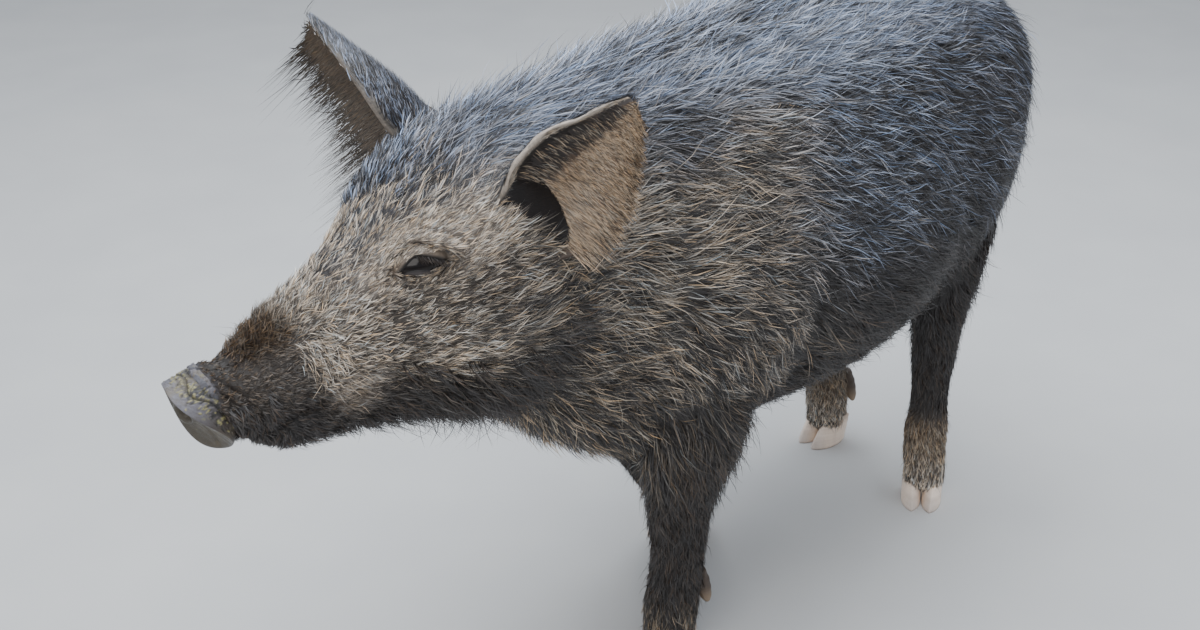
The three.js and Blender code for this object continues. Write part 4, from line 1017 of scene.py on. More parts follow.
def surface_height(along, up, side, surface):
    """How far the smooth head stands out over the eye's plane."""
    flat = np.stack([along.ravel(), up.ravel(), np.full(along.size, 60.0)], -1)
    starts = (from_eye(flat, side) - ORIGIN) * 0.001
    way = Vector((from_eye(np.array([[0, 0, -1.0]]), side) - from_eye(np.zeros((1, 3)), side))[0])
    found = np.empty(along.size)
    for i, start in enumerate(starts):
        hit = surface.ray_cast(Vector(start), way)
        found[i] = 60.0 - hit[3] * 1000 if hit[0] is not None else -2.0
    return found.reshape(along.shape)


def under_lids(points):
    """The skin that the lid patches take the place of."""
    hidden = np.zeros(len(points), bool)
    for side in (LEFT, RIGHT):
        local = to_eye(points, side)
        inside = (local[:, 0] / 36) ** 2 + ((local[:, 1] - 4) / 24) ** 2 < 1
        hidden |= inside & (np.abs(local[:, 2]) < 24)
    return hidden


def make_eye(side):
    """A wet eyeball, with a clear bulge over the iris."""
    rows, sides = 40, 64
    polar = np.linspace(0.02, np.pi - 0.02, rows)[:, None]
    turn = turns_round(sides)
    across = np.sin(polar)
    ball = np.stack([across * np.cos(turn), across * np.sin(turn), np.cos(polar) + 0 * turn], -1)
    bulge = 1 + 0.035 * np.exp(-((polar / 0.75) ** 4))
    points = ball * np.array(EYE_BALL["radii"]) * bulge[..., None] + np.array(EYE_BALL["at"])
    flat, faces = shell(points)
    return from_eye(flat, side), faces


# ---------- ears and tail ----------


def ear_leaf(ear, rows=84, across=36):
    """The ear's blade: wavy edges, and inside it flutes along its length and a canal at its root."""
    t = np.linspace(-0.2, 1.0, rows)[:, None]
    s = np.linspace(-1, 1, across)[None, :]
    t, s = t + 0 * s, s + 0 * t
    opening, sideways = ear_frame(ear)[3:]
    ripple = 1.0 * np.sin(17 * t + 3 * s) + 0.6 * np.sin(31 * t - 5 * s)
    fluting = 1.1 * np.cos(9 * s) * smooth(-0.1, 0.1, t) * smooth(0.85, 0.4, t)
    canal = 13 * hump(t, 0.02, 0.16) * hump(s, 0.1 * ear["fringe"], 0.45)
    waves = (ripple * np.abs(s) ** 3)[..., None] * sideways * 0.6
    folds = ((fluting - canal) * (1 - np.abs(s) ** 4))[..., None] * opening
    outside = ear_points(ear, t, s, False) + waves
    inside = ear_points(ear, t, -s, True) + folds + waves
    points, faces = shell(from_head(np.concatenate([outside, inside], axis=1)))
    return points, faces, ear_tone(ear, t, s)


def ear_tone(ear, t, s):
    """Dark outside with a pale rear rim; inside tan walls with an orange-brown middle, a pale front rim and a
    grey tip, and near-black painted shade over the front of the inside behind the rim. On the far ear, its
    shade darkens the inside and the outer rim as painted shade.
    """
    front = s * ear["fringe"] * -1
    outer = np.tile(np.array([0.020, 0.018, 0.020]), (t.size, 1)).reshape(*t.shape, 3)
    # The far ear's inside is darkened by its painted shade.
    inner = outer * 0 + np.array([0.115, 0.080, 0.055]) * ear["shade"]
    inner = laid_over(inner, [
        ((0.26, 0.15, 0.08), ear["shade"] * hump(t, 0.24, 0.2) * hump(front, -0.1, 0.26)),
        ((0.09, 0.08, 0.078), smooth(0.62, 0.95, t)),
        # Painted shade, near black, over the front of the inside behind the rim.
        ((0.010, 0.008, 0.008), smooth(0.15, 0.38, front) * smooth(0.9, 0.6, t)),
        ((0.40, 0.35, 0.30), (0.5 + 0.5 * ear["shade"]) * smooth(0.84, 0.93, front) * smooth(-0.1, 0.1, t)),
        ((0.06, 0.045, 0.036), smooth(-0.84, -0.97, front)),
    ])
    rim = smooth(0.80, 0.95, -front)[..., None]
    # On the far ear the outer rim's pale is darkened by its painted shade.
    outer = outer * (1 - rim) + np.array([0.34, 0.30, 0.26]) * ear["shade"] * rim
    tone = np.concatenate([outer, inner], axis=1).reshape(-1, 3)
    return np.vstack([tone, tone[:1], tone[-1:]])


def tail_loft(rows=90, sides=24):
    t = np.linspace(0, 6, rows)
    middle, _, side, over, radius = tail_frame(t)
    angle = np.linspace(0, 2 * np.pi, sides, endpoint=False)
    around = side[:, None] * np.cos(angle)[None, :, None] + over[:, None] * np.sin(angle)[None, :, None]
    points, faces = shell(middle[:, None] + around * (radius - INSET["tail"])[:, None, None])
    return points, faces, np.tile(np.array(BLACK), (len(points), 1))


# ---------- nose disc ----------
# Depth in shares of the disc's thickness, and size in shares of its own, from the back to the face's middle.
# A step is a place in this list: the wall is steps 0 to 5, the rim 6, the face from 7 on.
DISC_PROFILE = [
    (-1.15, 0.72), (-0.8, 0.76), (-0.45, 0.80), (-0.1, 0.845), (0.2, 0.89), (0.40, 0.925), (0.50, 0.935),
    (0.53, 0.92), (0.51, 0.87), (0.45, 0.79), (0.40, 0.66), (0.36, 0.46), (0.39, 0.23), (0.41, 0.02),
]
DISC_SEED = 17
FLECKS = {"count": 300, "long": 1.15, "thin": 0.55}
GRIME = {"count": 300, "long": 2.2, "thin": 0.8}


def flakes(angle, step, rng, count, long, thin):
    """Short slanting flecks of dried mud over the rear half of the nose's wall, their sizes in mm."""
    made = np.zeros(np.broadcast_shapes(angle.shape, step.shape))
    radius, step_deep = 33, 3.4
    for _ in range(count):
        round_it = (np.mod(angle - rng.uniform(0, 2 * np.pi) + np.pi, 2 * np.pi) - np.pi) * radius
        back = (step - rng.normal(2.4, 0.75)) * step_deep
        slant, size = rng.uniform(-1.3, 1.3), rng.uniform(0.6, 1.4)
        u = (round_it * np.cos(slant) + back * np.sin(slant)) / (long * size)
        v = (back * np.cos(slant) - round_it * np.sin(slant)) / (thin * size)
        made = np.maximum(made, smooth(1.3, 0.6, np.sqrt(u * u + v * v)))
    return made


def nostril_depth(y, z):
    """How far the face is sunk in the nostrils, and raised in a lip round each."""
    sunk = 0
    for side in (LEFT, RIGHT):
        tilt = np.radians(20 * side)
        across, over = y - side * NOSTRIL["y"], z - NOSTRIL["z"]
        a = (across * np.cos(tilt) + over * np.sin(tilt)) / NOSTRIL["wide"]
        b = (over * np.cos(tilt) - across * np.sin(tilt)) / NOSTRIL["high"]
        away = np.sqrt(a * a + b * b)
        sunk = sunk + NOSTRIL["deep"] * smooth(1.08, 0.55, away) - 1.4 * hump(away, 1.3, 0.22)
    return sunk


def make_disc(rows=120, sides=240):
    """The nose: a wall with creases and flecks of mud, a rim, and a face with a groove and two nostrils."""
    rng = np.random.default_rng(DISC_SEED)
    knots = np.arange(len(DISC_PROFILE), dtype=float)
    profile = {"i": knots, "depth": np.array(DISC_PROFILE)[:, 0], "scale": np.array(DISC_PROFILE)[:, 1]}
    step = np.linspace(0, knots[-1], rows)[:, None]
    s = between(profile, "i", step)
    angle = turns_round(sides)
    narrow = 1 - 0.05 * (1 - np.sin(angle)) - 0.035 * hump(angle, np.pi / 2, 0.22)
    y = DISC["half"] * s["scale"] * narrow * rounded(np.cos(angle), DISC_POWERS[0])
    z = DISC["high"] * s["scale"] * rounded(np.sin(angle), DISC_POWERS[1])
    on_face = smooth(6.6, 8.2, step)
    dents = 0.15 * np.sin(y * 0.9) * np.cos(z * 0.7) - 1.0 * hump(y, 0, 1.6) * smooth(-2, -12, z)
    x = DISC["thick"] * s["depth"] + disc_bend(y, z) + on_face * dents
    crust = np.sin(angle * 37 + 3 * np.sin(angle * 7 + step)) * np.sin(8.3 * step + 3 * np.cos(angle * 9))
    front_crease = hump(step + 0.4 * np.sin(angle * 5), 2.5, 0.16)
    creases = hump(step + 0.3 * np.sin(angle * 6 + 1), 1.3, 0.30) + front_crease
    flecks, grime = (flakes(angle, step, rng, **kind) for kind in (FLECKS, GRIME))
    rough = 0.010 * (1 - smooth(3.5, 5.5, step)) * crust + 0.014 * flecks - 0.016 * grime
    swell = 1 + rough - 0.05 * creases
    y, z = y * swell, z * swell
    x = x - on_face * nostril_depth(y, z)
    points, faces = shell(np.stack([x, y, z], -1))
    tone = disc_tone(points, on_face + 0 * angle, flecks, grime, np.minimum(creases, 1))
    return from_disc(points), faces, tone


def disc_tone(points, on_face, *marks):
    """A wall grey above and brown below, an olive face, mud, and painted shade darkening the creases and the
    sunk nostrils.
    """
    on_face = np.append(on_face.ravel(), [0, 1])[:, None]
    flecks, grime, folds = (np.append(mark.ravel(), [0, 0])[:, None] for mark in marks)
    high = smooth(-6, 28, points[:, 2:])
    wall_tone = np.array([0.050, 0.036, 0.028]) * (1 - high) + np.array([0.135, 0.130, 0.155]) * high
    tone = np.array([0.050, 0.038, 0.021]) * on_face + wall_tone * (1 - on_face)
    return laid_over(tone, [
        ((0.014, 0.012, 0.010), 0.85 * grime),
        ((0.33, 0.30, 0.13), 0.85 * flecks),
        # Painted shade in the creases.
        ((0.008, 0.007, 0.007), 0.9 * folds),
        # Painted shade in the nostrils, dark where the face is sunk deepest.
        ((0.008, 0.006, 0.006), smooth(2.0, -3.0, points[:, :1]) * on_face),
    ])


# ---------- feet ----------


def foot_place(leg, height, level):
    """The leg's middle at a height, moved as far as it has stepped at a level, on the floor."""
    s = between(leg["sections"], "z", np.array(height, float))
    return np.array([s["x"] + leg["step"] * swing(level), leg["side"] * s["y"], 0.0])


def in_foot(points, leg, at):
    return points @ spin("Z", leg["turn"] * leg["side"]).T + at


def make_hoof(leg, side, rows=26, sides=56):
    """A sole flat on the floor, sloping walls with growth ridges, a pointed toe and a round heel."""
    t = np.linspace(0, 1, rows)[:, None]
    angle = turns_round(sides)
    taper = 1 - 0.32 * t - 0.10 * hump(t, 0, 0.05) - 0.16 * smooth(0.9, 1.0, t)
    ridges = 0.012 * np.sin(30 * t + 1.5 * np.cos(angle)) * smooth(0.05, 0.2, t)
    x = HOOF["long"] / 2 * (taper + ridges) * np.cos(angle) - HOOF["high"] * HOOF["slope"] * t * 0.75
    point = np.where(np.cos(angle) > 0, 1.35, 2.6)
    bulge = np.abs(np.sin(angle)) ** (2 / point) * np.sign(np.sin(angle))
    narrow = 1 - 0.1 * t - 0.05 * hump(t, 0, 0.05) - 0.12 * smooth(0.9, 1.0, t)
    y = HOOF["wide"] / 2 * bulge * (narrow + ridges)
    z = HOOF["high"] * t + 0 * angle
    points, faces = shell(np.stack([HOOF["ahead"] + x, y, z], -1))
    tone = hoof_tone(points)
    points = points @ spin("Z", -side * HOOF["spread"]).T + [0, side * (HOOF["wide"] + HOOF["split"]) / 2, 0]
    return in_foot(points, leg, foot_place(leg, 42, 0)), faces, tone


def hoof_tone(points):
    """Cream walls, a blue-grey toe, and a darker band where the hair begins."""
    tone = np.tile(np.array([0.96, 0.80, 0.67]), (len(points), 1))
    toe = smooth(14, 34, points[:, 0]) * smooth(34, 8, points[:, 2])
    top = smooth(26, 36, points[:, 2])
    return laid_over(tone, [((0.34, 0.33, 0.34), 0.5 * toe), ((0.30, 0.20, 0.13), 0.6 * top)])


def make_dewclaw(leg, side, rows=22, sides=28):
    """A small blunt claw behind the leg, pointing down and back, with growth rings."""
    t = np.linspace(0, 1, rows)
    radius = DEWCLAW["wide"] * np.sqrt(1 - t ** 3 * 0.96) * (0.8 + 0.2 * np.minimum(3 * t, 1))
    radius = radius * (1 + 0.03 * np.sin(26 * t))
    way = unit(np.array([-DEWCLAW["lean"], 0, -DEWCLAW["long"]], float))
    across, over = np.array([0, 1.0, 0]), np.cross(way, [0, 1.0, 0])
    middle = np.stack([
        -DEWCLAW["back"] - DEWCLAW["lean"] * t,
        side * (DEWCLAW["apart"] + 3 * t),
        DEWCLAW["top"] - DEWCLAW["long"] * t,
    ], -1)
    angle = np.linspace(0, 2 * np.pi, sides, endpoint=False)
    around = across * np.cos(angle)[:, None] + over * np.sin(angle)[:, None]
    points, faces = shell(middle[:, None] + around[None] * radius[:, None, None])
    worn = smooth(80, 54, points[:, 2:])
    tone = laid_over(np.array([[0.07, 0.05, 0.038]]), [((0.30, 0.22, 0.15), worn)])
    at = foot_place(leg, DEWCLAW["top"] - 10, DEWCLAW["top"])
    return in_foot(points, leg, at), faces, tone


# ---------- coat ----------
PATCH = 0.003  # how wide a tuft's place is in a coat piece's UV map


def scatter(mesh, rng, gap_of, regions):
    """Roots spread over some regions of a mesh, their gaps set by the coat: points, normals."""
    mesh.calc_loop_triangles()
    corners = np.empty(len(mesh.loop_triangles) * 3, np.int32)
    mesh.loop_triangles.foreach_get("vertices", corners)
    corners = corners.reshape(-1, 3)
    points, normals = points_of(mesh), normals_of(mesh)
    a, b, c = points[corners[:, 0]], points[corners[:, 1]], points[corners[:, 2]]
    middle = (a + b + c) / 3
    area = np.linalg.norm(np.cross(b - a, c - a), axis=1) / 2
    wanted = np.where(np.isin(region_of(middle), regions), area / gap_of(middle) ** 2, 0)
    count = int(wanted.sum())
    cumulative = np.cumsum(wanted)
    even = (np.arange(count) + rng.random(count)) * cumulative[-1] / count
    chosen = np.minimum(np.searchsorted(cumulative, even), len(corners) - 1)
    u, v = rng.random(count), rng.random(count)
    over = u + v > 1
    u[over], v[over] = 1 - u[over], 1 - v[over]
    weights = np.stack([1 - u - v, u, v], -1)
    at = np.einsum("nk,nkc->nc", weights, points[corners[chosen]])
    normal = unit(np.einsum("nk,nkc->nc", weights, normals[corners[chosen]]))
    return at, normal


def wander(points, rng, size, amount):
    """A slow, smooth change over space, alike for neighbours."""
    made = np.zeros(len(points))
    for _ in range(5):
        way = unit(rng.normal(size=3)) / (size * rng.uniform(0.6, 1.5))
        made += np.sin(points @ way * 2 * np.pi + rng.uniform(0, 6.3))
    return made * amount / 2.2


def swayed(at, normal, lie, rng):
    """The way hair lies over the skin, swayed a little, and the way across it."""
    lie = unit(lie - dot(lie, normal) * normal)
    side = np.cross(normal, lie)
    sway = (wander(at, rng, 70, 0.22) + rng.normal(0, 0.10, len(at)))[:, None]
    return unit(lie + sway * side), unit(side - sway * lie)


def blade_ways(coat, normal, lie, rng, each):
    """Each blade's length, the ways in which it leaves and settles, and its bend to the side."""
    tuft = (len(normal), 1, 1)
    uneven = rng.uniform(0.72, 1.15, each)
    length = coat["length"][:, None, None] * uneven * rng.uniform(0.85, 1.15, tuft)
    lift = coat["lift"][:, None, None] * rng.uniform(0.7, 1.3, each)
    leave = unit(normal * lift + lie * (1 - lift))
    settle = unit(normal * lift * 0.3 + lie)
    bend = coat["curl"][:, None, None] * (rng.normal(0, 1, each) + rng.normal(0, 0.7, tuft))
    return length, leave, settle, bend


def tufts(at, normal, coat, rng, blades=7, rings=2, width=0.95, spread=3.0, clump=0.75):
    """Flat tapered blades in tufts that close toward their tips.

    Returns points (tufts, blades, 2 * rings + 1, 3), their colours and where each lies along its blade."""
    lie, side = swayed(at, normal, coat["lie"], rng)
    at, normal, lie, side = (vectors[:, None] for vectors in (at, normal, lie, side))
    each = (len(at), blades, 1)
    angle, far = rng.uniform(0, 2 * np.pi, each), np.sqrt(rng.random(each)) * spread
    offset = lie * np.cos(angle) * far + side * np.sin(angle) * far
    length, leave, settle, bend = blade_ways(coat, normal, lie, rng, each)
    own_share = np.clip(coat["share"] + rng.normal(0, 0.28, len(at)), 0, 1)[:, None, None]
    pale = rng.random(each) < own_share
    width = width * np.where(pale, 1.35, 0.9)
    roll = rng.uniform(-1.2, 1.2, each)
    flat = side * np.cos(roll) + normal * np.sin(roll)
    points = []
    sunk = normal * np.minimum(1.2, 0.06 * coat["length"])[:, None, None]
    along = np.linspace(0, 1, rings + 1)
    for t in along:
        middle = at + offset * (1 - clump * t) - sunk
        middle = middle + length * (leave * (t - t * t / 2) + settle * t * t / 2)
        middle = middle + side * bend * length * t * t
        half = flat * width / 2 * (1 - 0.35 * t)
        points += [middle - half, middle + half] if t < 1 else [middle]
    points = np.stack(points, 2)
    t = np.repeat(along, 2)[: 2 * rings + 1]
    return points, blade_colours(coat, rng, pale[..., None], t), t


def blade_colours(coat, rng, pale, t):
    """Dark hairs, and among them pale-tipped ones, some warmer and some cooler."""
    n, blades = pale.shape[:2]
    bright = rng.uniform(0.3, 1.75, (n, blades, 1, 1))
    warmth = rng.normal(0, 0.10, (n, blades, 1, 1)) * np.array([1, 0.1, -1.0])
    root = coat["dark"][:, None, None, :] * rng.uniform(0.6, 1.5, (n, blades, 1, 1))
    tip = coat["pale"][:, None, None, :] * bright * (1 + warmth)
    rise = smooth(0.05, 0.9, t)[None, None, :, None]
    return np.where(pale, root * (1 - rise) + tip * rise, root * (1 + 0.8 * rise))


def coat_mesh(name, parts):
    """One coat piece from [(points, colours, along, places)], places being each tuft's spot on its unwrap."""
    all_points, all_tones, all_uv, all_faces, start = [], [], [], [], 0
    for points, colours, t, places in parts:
        n, blades, per, _ = points.shape
        quads = [(2 * k, 2 * k + 1, 2 * k + 3, 2 * k + 2) for k in range((per - 3) // 2)]
        split = [tri for a, b, c, d in quads for tri in ((a, b, c), (a, c, d))]
        pattern = np.array(split + [(per - 3, per - 2, per - 1)])
        first = start + np.arange(n * blades)[:, None, None] * per
        all_faces.append((first + pattern[None]).reshape(-1, 3))
        all_points.append(points.reshape(-1, 3))
        all_tones.append(np.broadcast_to(colours, (n, blades, per, 3)).reshape(-1, 3))
        across = (np.arange(blades) + 0.5)[None, :, None] / blades + np.tile([-0.3, 0.3], per)[:per] / blades
        u = places[:, 0][:, None, None] + PATCH * (across - 0.5)
        v = places[:, 1][:, None, None] + PATCH * (t[None, None, :] - 0.5)
        all_uv.append(np.stack(np.broadcast_arrays(u, v), -1).reshape(-1, 2))
        start += n * blades * per
    points, tones, uv = np.vstack(all_points), np.vstack(all_tones), np.vstack(all_uv)
    return make_mesh(name, points, [np.vstack(all_faces)], tones, uv)


# Unwraps of the skin's own shape: how far along a form, and how far round it.
def spots(along, low, high, round_turn):
    u = np.clip((along - low) / (high - low), 0, 1)
    v = np.mod(round_turn / (2 * np.pi) + 0.5, 1)
    return np.stack([0.005 + 0.99 * u, 0.005 + 0.99 * v], -1)


def trunk_spots(points):
    s = between(TRUNK, "x", np.clip(points[:, 0], TRUNK["x"][0], TRUNK["x"][-1]))
    return spots(points[:, 0], -400, 420, np.arctan2(points[:, 1] - s["shift"], s["level"] - points[:, 2]))


def head_spots(points):
    on_head = to_head(points)
    return spots(on_head[:, 0], -60, 300, np.arctan2(on_head[:, 1], on_head[:, 2] + 92))


def leg_spots(points, names):
    """Both legs of a pair on one map, side by side."""
    made = np.zeros((len(points), 2))
    for number, name in enumerate(names):
        leg = LEGS[name]
        own = points[:, 1] * leg["side"] > 0
        s = between(leg["sections"], "z", np.clip(points[:, 2], 10, 345))
        x = points[:, 0] - s["x"] - leg["step"] * swing(points[:, 2])
        y = points[:, 1] - leg["side"] * s["y"]
        spot = spots(points[:, 2], 0, 350, np.arctan2(y, x))
        spot[:, 0] = 0.005 + 0.49 * spot[:, 0] + 0.5 * number
        made[own] = spot[own]
    return made


def bare(points):
    """Places with no coat: nose, inside the ears, the eyes' openings, where the lips meet, hooves."""
    on_head = to_head(points)
    hidden = past_hair(on_head) > 0
    for ear in EARS.values():
        hidden |= in_ear(on_head, ear)
    for side in (LEFT, RIGHT):
        local = to_eye(points, side)
        opening = (local[:, 0] / 20) ** 2 + ((local[:, 1] - 4.5) / 7.6) ** 2 < 1
        hidden |= opening & (np.abs(local[:, 2]) < 25)
        hidden |= line_distance(on_head, mouth_points(side)) < 2.2
    return hidden | (points[:, 2] < 26)


REGIONS = [
    "head_left", "head_right", "neck", "shoulders", "side_left", "side_right", "rump",
    "fore_legs", "hind_legs",
]
(HEAD_LEFT, HEAD_RIGHT, NECK, SHOULDERS, SIDE_LEFT, SIDE_RIGHT, RUMP,
 FORE_LEGS, HIND_LEGS) = range(len(REGIONS))


def region_of(points):
    """The number of the region that each point lies in."""
    on_head = to_head(points)
    x, y, z = points.T
    ahead = (x - 215) * np.cos(np.radians(12)) + (z - 600) * np.sin(np.radians(12)) > 0
    region = np.where(y > 0, SIDE_LEFT, SIDE_RIGHT)
    region[x > 60] = SHOULDERS
    region[x < -205] = RUMP
    region[ahead] = NECK
    of_head = np.where(on_head[:, 1] > 0, HEAD_LEFT, HEAD_RIGHT)
    region = np.where(on_head[:, 0] > -4, of_head, region)
    low = (z < 228) & (on_head[:, 0] < 0)
    region[low & (x > LEGS_PART)] = FORE_LEGS
    region[low & (x <= LEGS_PART)] = HIND_LEGS
    return region


def region_spots(name, points):
    if name.startswith("head"):
        return head_spots(points)
    if name == "fore_legs":
        return leg_spots(points, ["fore_left", "fore_right"])
    if name == "hind_legs":
        return leg_spots(points, ["hind_left", "hind_right"])
    return trunk_spots(points)


def kind_of(region):
    """Which layers of coat a region has."""
    return "head" if region.startswith("head") else "legs" if region.endswith("legs") else "body"


# Layers of coat: gap, length and lift are shares of the zones' own.
LAYERS = {
    "body": [
        dict(gap=1.0, length=1.0, lift=1.0, look=dict(blades=7, rings=2, width=0.9, spread=3.2)),
        dict(gap=2.6, length=1.3, lift=2.1, look=dict(blades=2, rings=3, width=0.5, spread=2.0)),
    ],
    "head": [
        dict(gap=0.98, length=0.85, lift=0.8, look=dict(blades=7, rings=1, width=0.55, spread=1.8)),
        dict(gap=1.25, length=1.15, lift=1.2, look=dict(blades=4, rings=2, width=0.65, spread=1.8)),
    ],
    "legs": [
        dict(gap=1.0, length=1.0, lift=1.0, look=dict(blades=6, rings=2, width=0.75, spread=2.4)),
        dict(gap=3.0, length=1.3, lift=1.8, look=dict(blades=2, rings=2, width=0.5, spread=1.4)),
    ],
}


def body_coat(mesh, rng):
    """The whole coat's tufts, by region, in layers."""
    grown = {name: [] for name in REGIONS}
    for kind, layers in LAYERS.items():
        own = [i for i, name in enumerate(REGIONS) if kind_of(name) == kind]
        for layer in layers:
            at, normal = scatter(mesh, rng, lambda points: coat_at(points)["gap"] * layer["gap"], own)
            keep = ~bare(at)
            at, normal = at[keep], normal[keep]
            coat, region = coat_at(at), region_of(at)
            coat["length"], coat["lift"] = coat["length"] * layer["length"], coat["lift"] * layer["lift"]
            for number in own:
                here = region == number
                some = {key: value[here] for key, value in coat.items()}
                points, colours, t = tufts(at[here], normal[here], some, rng, **layer["look"])
                name = REGIONS[number]
                grown[name].append((points, colours, t, region_spots(name, at[here])))
    return grown


# Rows of longer bristles. angle and spread are degrees round the form: 0 the left side, 90 the back,
# -90 the belly, 180 the rear of a leg. length is given at the start, middle and end of the row.
BACKWARD = (-1, 0, 0)


def both_sides(*rows):
    """Rows of the left side, and after them the same on the right."""
    return [*rows, *(
        (form, 180 - angle, *sizes, (lie[0], -lie[1], lie[2]), pale, share)
        for form, angle, *sizes, lie, pale, share in rows
    )]


FRINGES = {
    "crest": [
        # form, angle, spread, from, to, count, length, lift, lie, pale, share
        # The crest's blue-grey tips are painted sheen of the light on the black bristles.
        ("head", 90, 24, 100, -14, 420, (12, 26, 44), 0.46, BACKWARD, STEEL_SHEEN, 0.5),
        ("head", 118, 26, 110, -10, 420, (16, 28, 36), 0.62, BACKWARD, HAZE_SHEEN, 0.5),
        ("head", 138, 26, 90, -10, 300, (14, 24, 28), 0.75, (-0.6, 0, 0.3), HAZE_SHEEN, 0.5),
        ("trunk", 90, 5, 400, -330, 1400, (54, 48, 20), 0.60, BACKWARD, HAZE_SHEEN, 0.6),
        ("trunk", 90, 14, 400, -330, 1600, (50, 46, 26), 0.42, BACKWARD, HAZE_SHEEN, 0.65),
        ("trunk", 106, 12, 400, 60, 420, (50, 44, 34), 0.55, BACKWARD, HAZE_SHEEN, 0.65),
    ],
    "beard": [
        ("jaw", -80, 55, 254, 60, 660, (12, 28, 38), 0.95, (-0.8, 0, -0.6), BROWN, 0.2),
        ("jaw", -72, 70, 262, 120, 320, (8, 12, 16), 0.60, (-0.5, 0, -0.6), BROWN, 0.15),
        ("head", -76, 50, 150, -8, 760, (28, 42, 44), 1.0, (-0.9, 0, -0.5), BROWN, 0.25),
        ("trunk", -78, 44, 388, 226, 680, (40, 38, 34), 0.70, (-1, 0, -0.3), TAN, 0.2),
        *both_sides(("head", -20, 34, 26, -14, 150, (26, 28, 30), 0.28, (-1, 0.1, -0.35), TAN, 0.3)),
    ],
    "chin": [
        ("jaw", -74, 80, 266, 236, 170, (9, 13, 14), 0.85, (0.25, 0, -0.9), BROWN, 0.15),
        ("head", -74, 80, 284, 250, 240, (12, 16, 17), 0.75, (-0.35, 0, -0.9), BROWN, 0.15),
    ],
    "bristles": [
        ("jaw", -76, 36, 210, 60, 150, (18, 46, 52), 1.25, (-0.5, 0, -0.6), UMBER, 0.05),
        ("jaw", -60, 40, 200, 60, 60, (12, 26, 30), 0.6, (-0.4, 0, -1), BROWN, 0.1),
        ("head", -74, 34, 150, 10, 200, (36, 58, 54), 1.3, (-0.5, 0, -0.8), UMBER, 0.1),
    ],
    "sweep": both_sides(
        ("head", 28, 22, 222, 192, 110, (15, 17, 15), 0.26, (-0.8, 0.1, -0.7), CREAM, 0.9),
        ("head", 0, 18, 212, 186, 90, (16, 17, 15), 0.28, (-0.7, 0.1, -0.8), CREAM, 0.9),
        ("head", -46, 10, 198, 182, 60, (12, 13, 12), 0.40, (-0.9, 0.1, -0.5), CREAM, 0.95),
    ),
    "belly": [
        ("trunk", -90, 26, 224, -230, 1000, (28, 30, 24), 0.34, (-1, 0, -0.15), BROWN, 0.3),
        *both_sides(("trunk", -46, 14, 150, -190, 560, (34, 36, 30), 0.26, (-1, 0, -0.55), BROWN, 0.3)),
    ],
    "fore_fringe": [
        ("fore", 180, 42, 300, 150, 300, (36, 34, 22), 0.40, (-0.3, 0, -1), BROWN, 0.3),
        ("fore", 180, 60, 150, 60, 160, (20, 18, 14), 0.34, (-0.2, 0, -1), BROWN, 0.3),
        ("fore", 0, 130, 40, 30, 110, (9, 10, 9), 0.2, (0.25, 0, -1), BROWN, 0.4),
    ],
    "hind_fringe": [
        ("hind", 180, 52, 384, 220, 300, (30, 28, 20), 0.3, (-0.15, 0, -1), BROWN, 0.3),
        ("hind", 180, 45, 92, 52, 90, (10, 14, 10), 0.3, (-0.1, 0, -1), TAN, 0.5),
        ("hind", 0, 130, 40, 30, 110, (9, 10, 9), 0.2, (0.25, 0, -1), CREAM, 0.4),
    ],
}
FRINGE_CURL = {
    "crest": 0.18, "beard": 0.2, "chin": 0.2, "bristles": 0.3, "sweep": 0.3, "belly": 0.18,
    "fore_fringe": 0.16, "hind_fringe": 0.16,
}
FRINGE_LOOK = {"blades": 6, "rings": 3, "width": 0.8, "clump": 0.55}
FINE_LOOK = {"blades": 3, "width": 0.5, "spread": 2.6, "clump": 0.25}
# Front is 1 at the ear's front rim and -1 at its rear edge. way is (toward the tip, toward the front).
EAR_COAT = [
    # inner side, t range, front range, count, length, way, rise, pale, share, dark
    # The blue-grey tips on the ear's outside are painted sheen.
    (False, (-0.05, 0.97), (-0.97, 0.97), 2300, 13, (1, -0.15), 2.5, STEEL_SHEEN, 0.34, BLACK),
    (True, (-0.02, 0.96), (-0.92, 0.25), 2300, 15, (0.2, -1), 1.8, WHEAT, 0.66, BROWN),
    (True, (0.0, 0.9), (0.25, 0.8), 330, 13, (0.2, -1), 3.5, TAN, 0.22, UMBER),
    (True, (-0.04, 0.97), (0.84, 0.94), 200, 6, (1, -0.1), 0.4, CREAM, 0.80, FAWN),
    (True, (0.0, 0.97), (-0.98, -0.86), 340, None, (0.2, -1), 2.0, TAN, 0.30, UMBER),
]


def normal_at(form, first, second, out_of):
    """The way out of a form's surface, by small steps of its two measures."""
    along = form(first + 0.5, second) - form(first - 0.5, second)
    round_it = form(first, second + 0.01) - form(first, second - 0.01)
    normal = unit(np.cross(along, round_it))
    return np.where(dot(normal, form(first, second) - out_of) < 0, -normal, normal)


def fringe_forms():
    """The forms that carry rows of bristle, a little under the skin, with their maps."""
    forms = {
        "trunk": (lambda x, a: loft_points(TRUNK_FORM, x, a, INSET["trunk"]), trunk_spots),
        "head": (lambda x, a: from_head(loft_points(HEAD_FORM, x, a, 3.0)), head_spots),
        "jaw": (lambda x, a: from_head(loft_points(JAW_FORM, x, a, 2.0)), head_spots),
    }
    for pair in ("fore", "hind"):
        names = [name for name in LEGS if name.startswith(pair)]
        for name in names:
            forms[name] = (lambda z, a, leg=LEGS[name]: leg_points(leg, z, a, INSET["leg"]),
                           lambda points, names=names: leg_spots(points, names))
    return forms


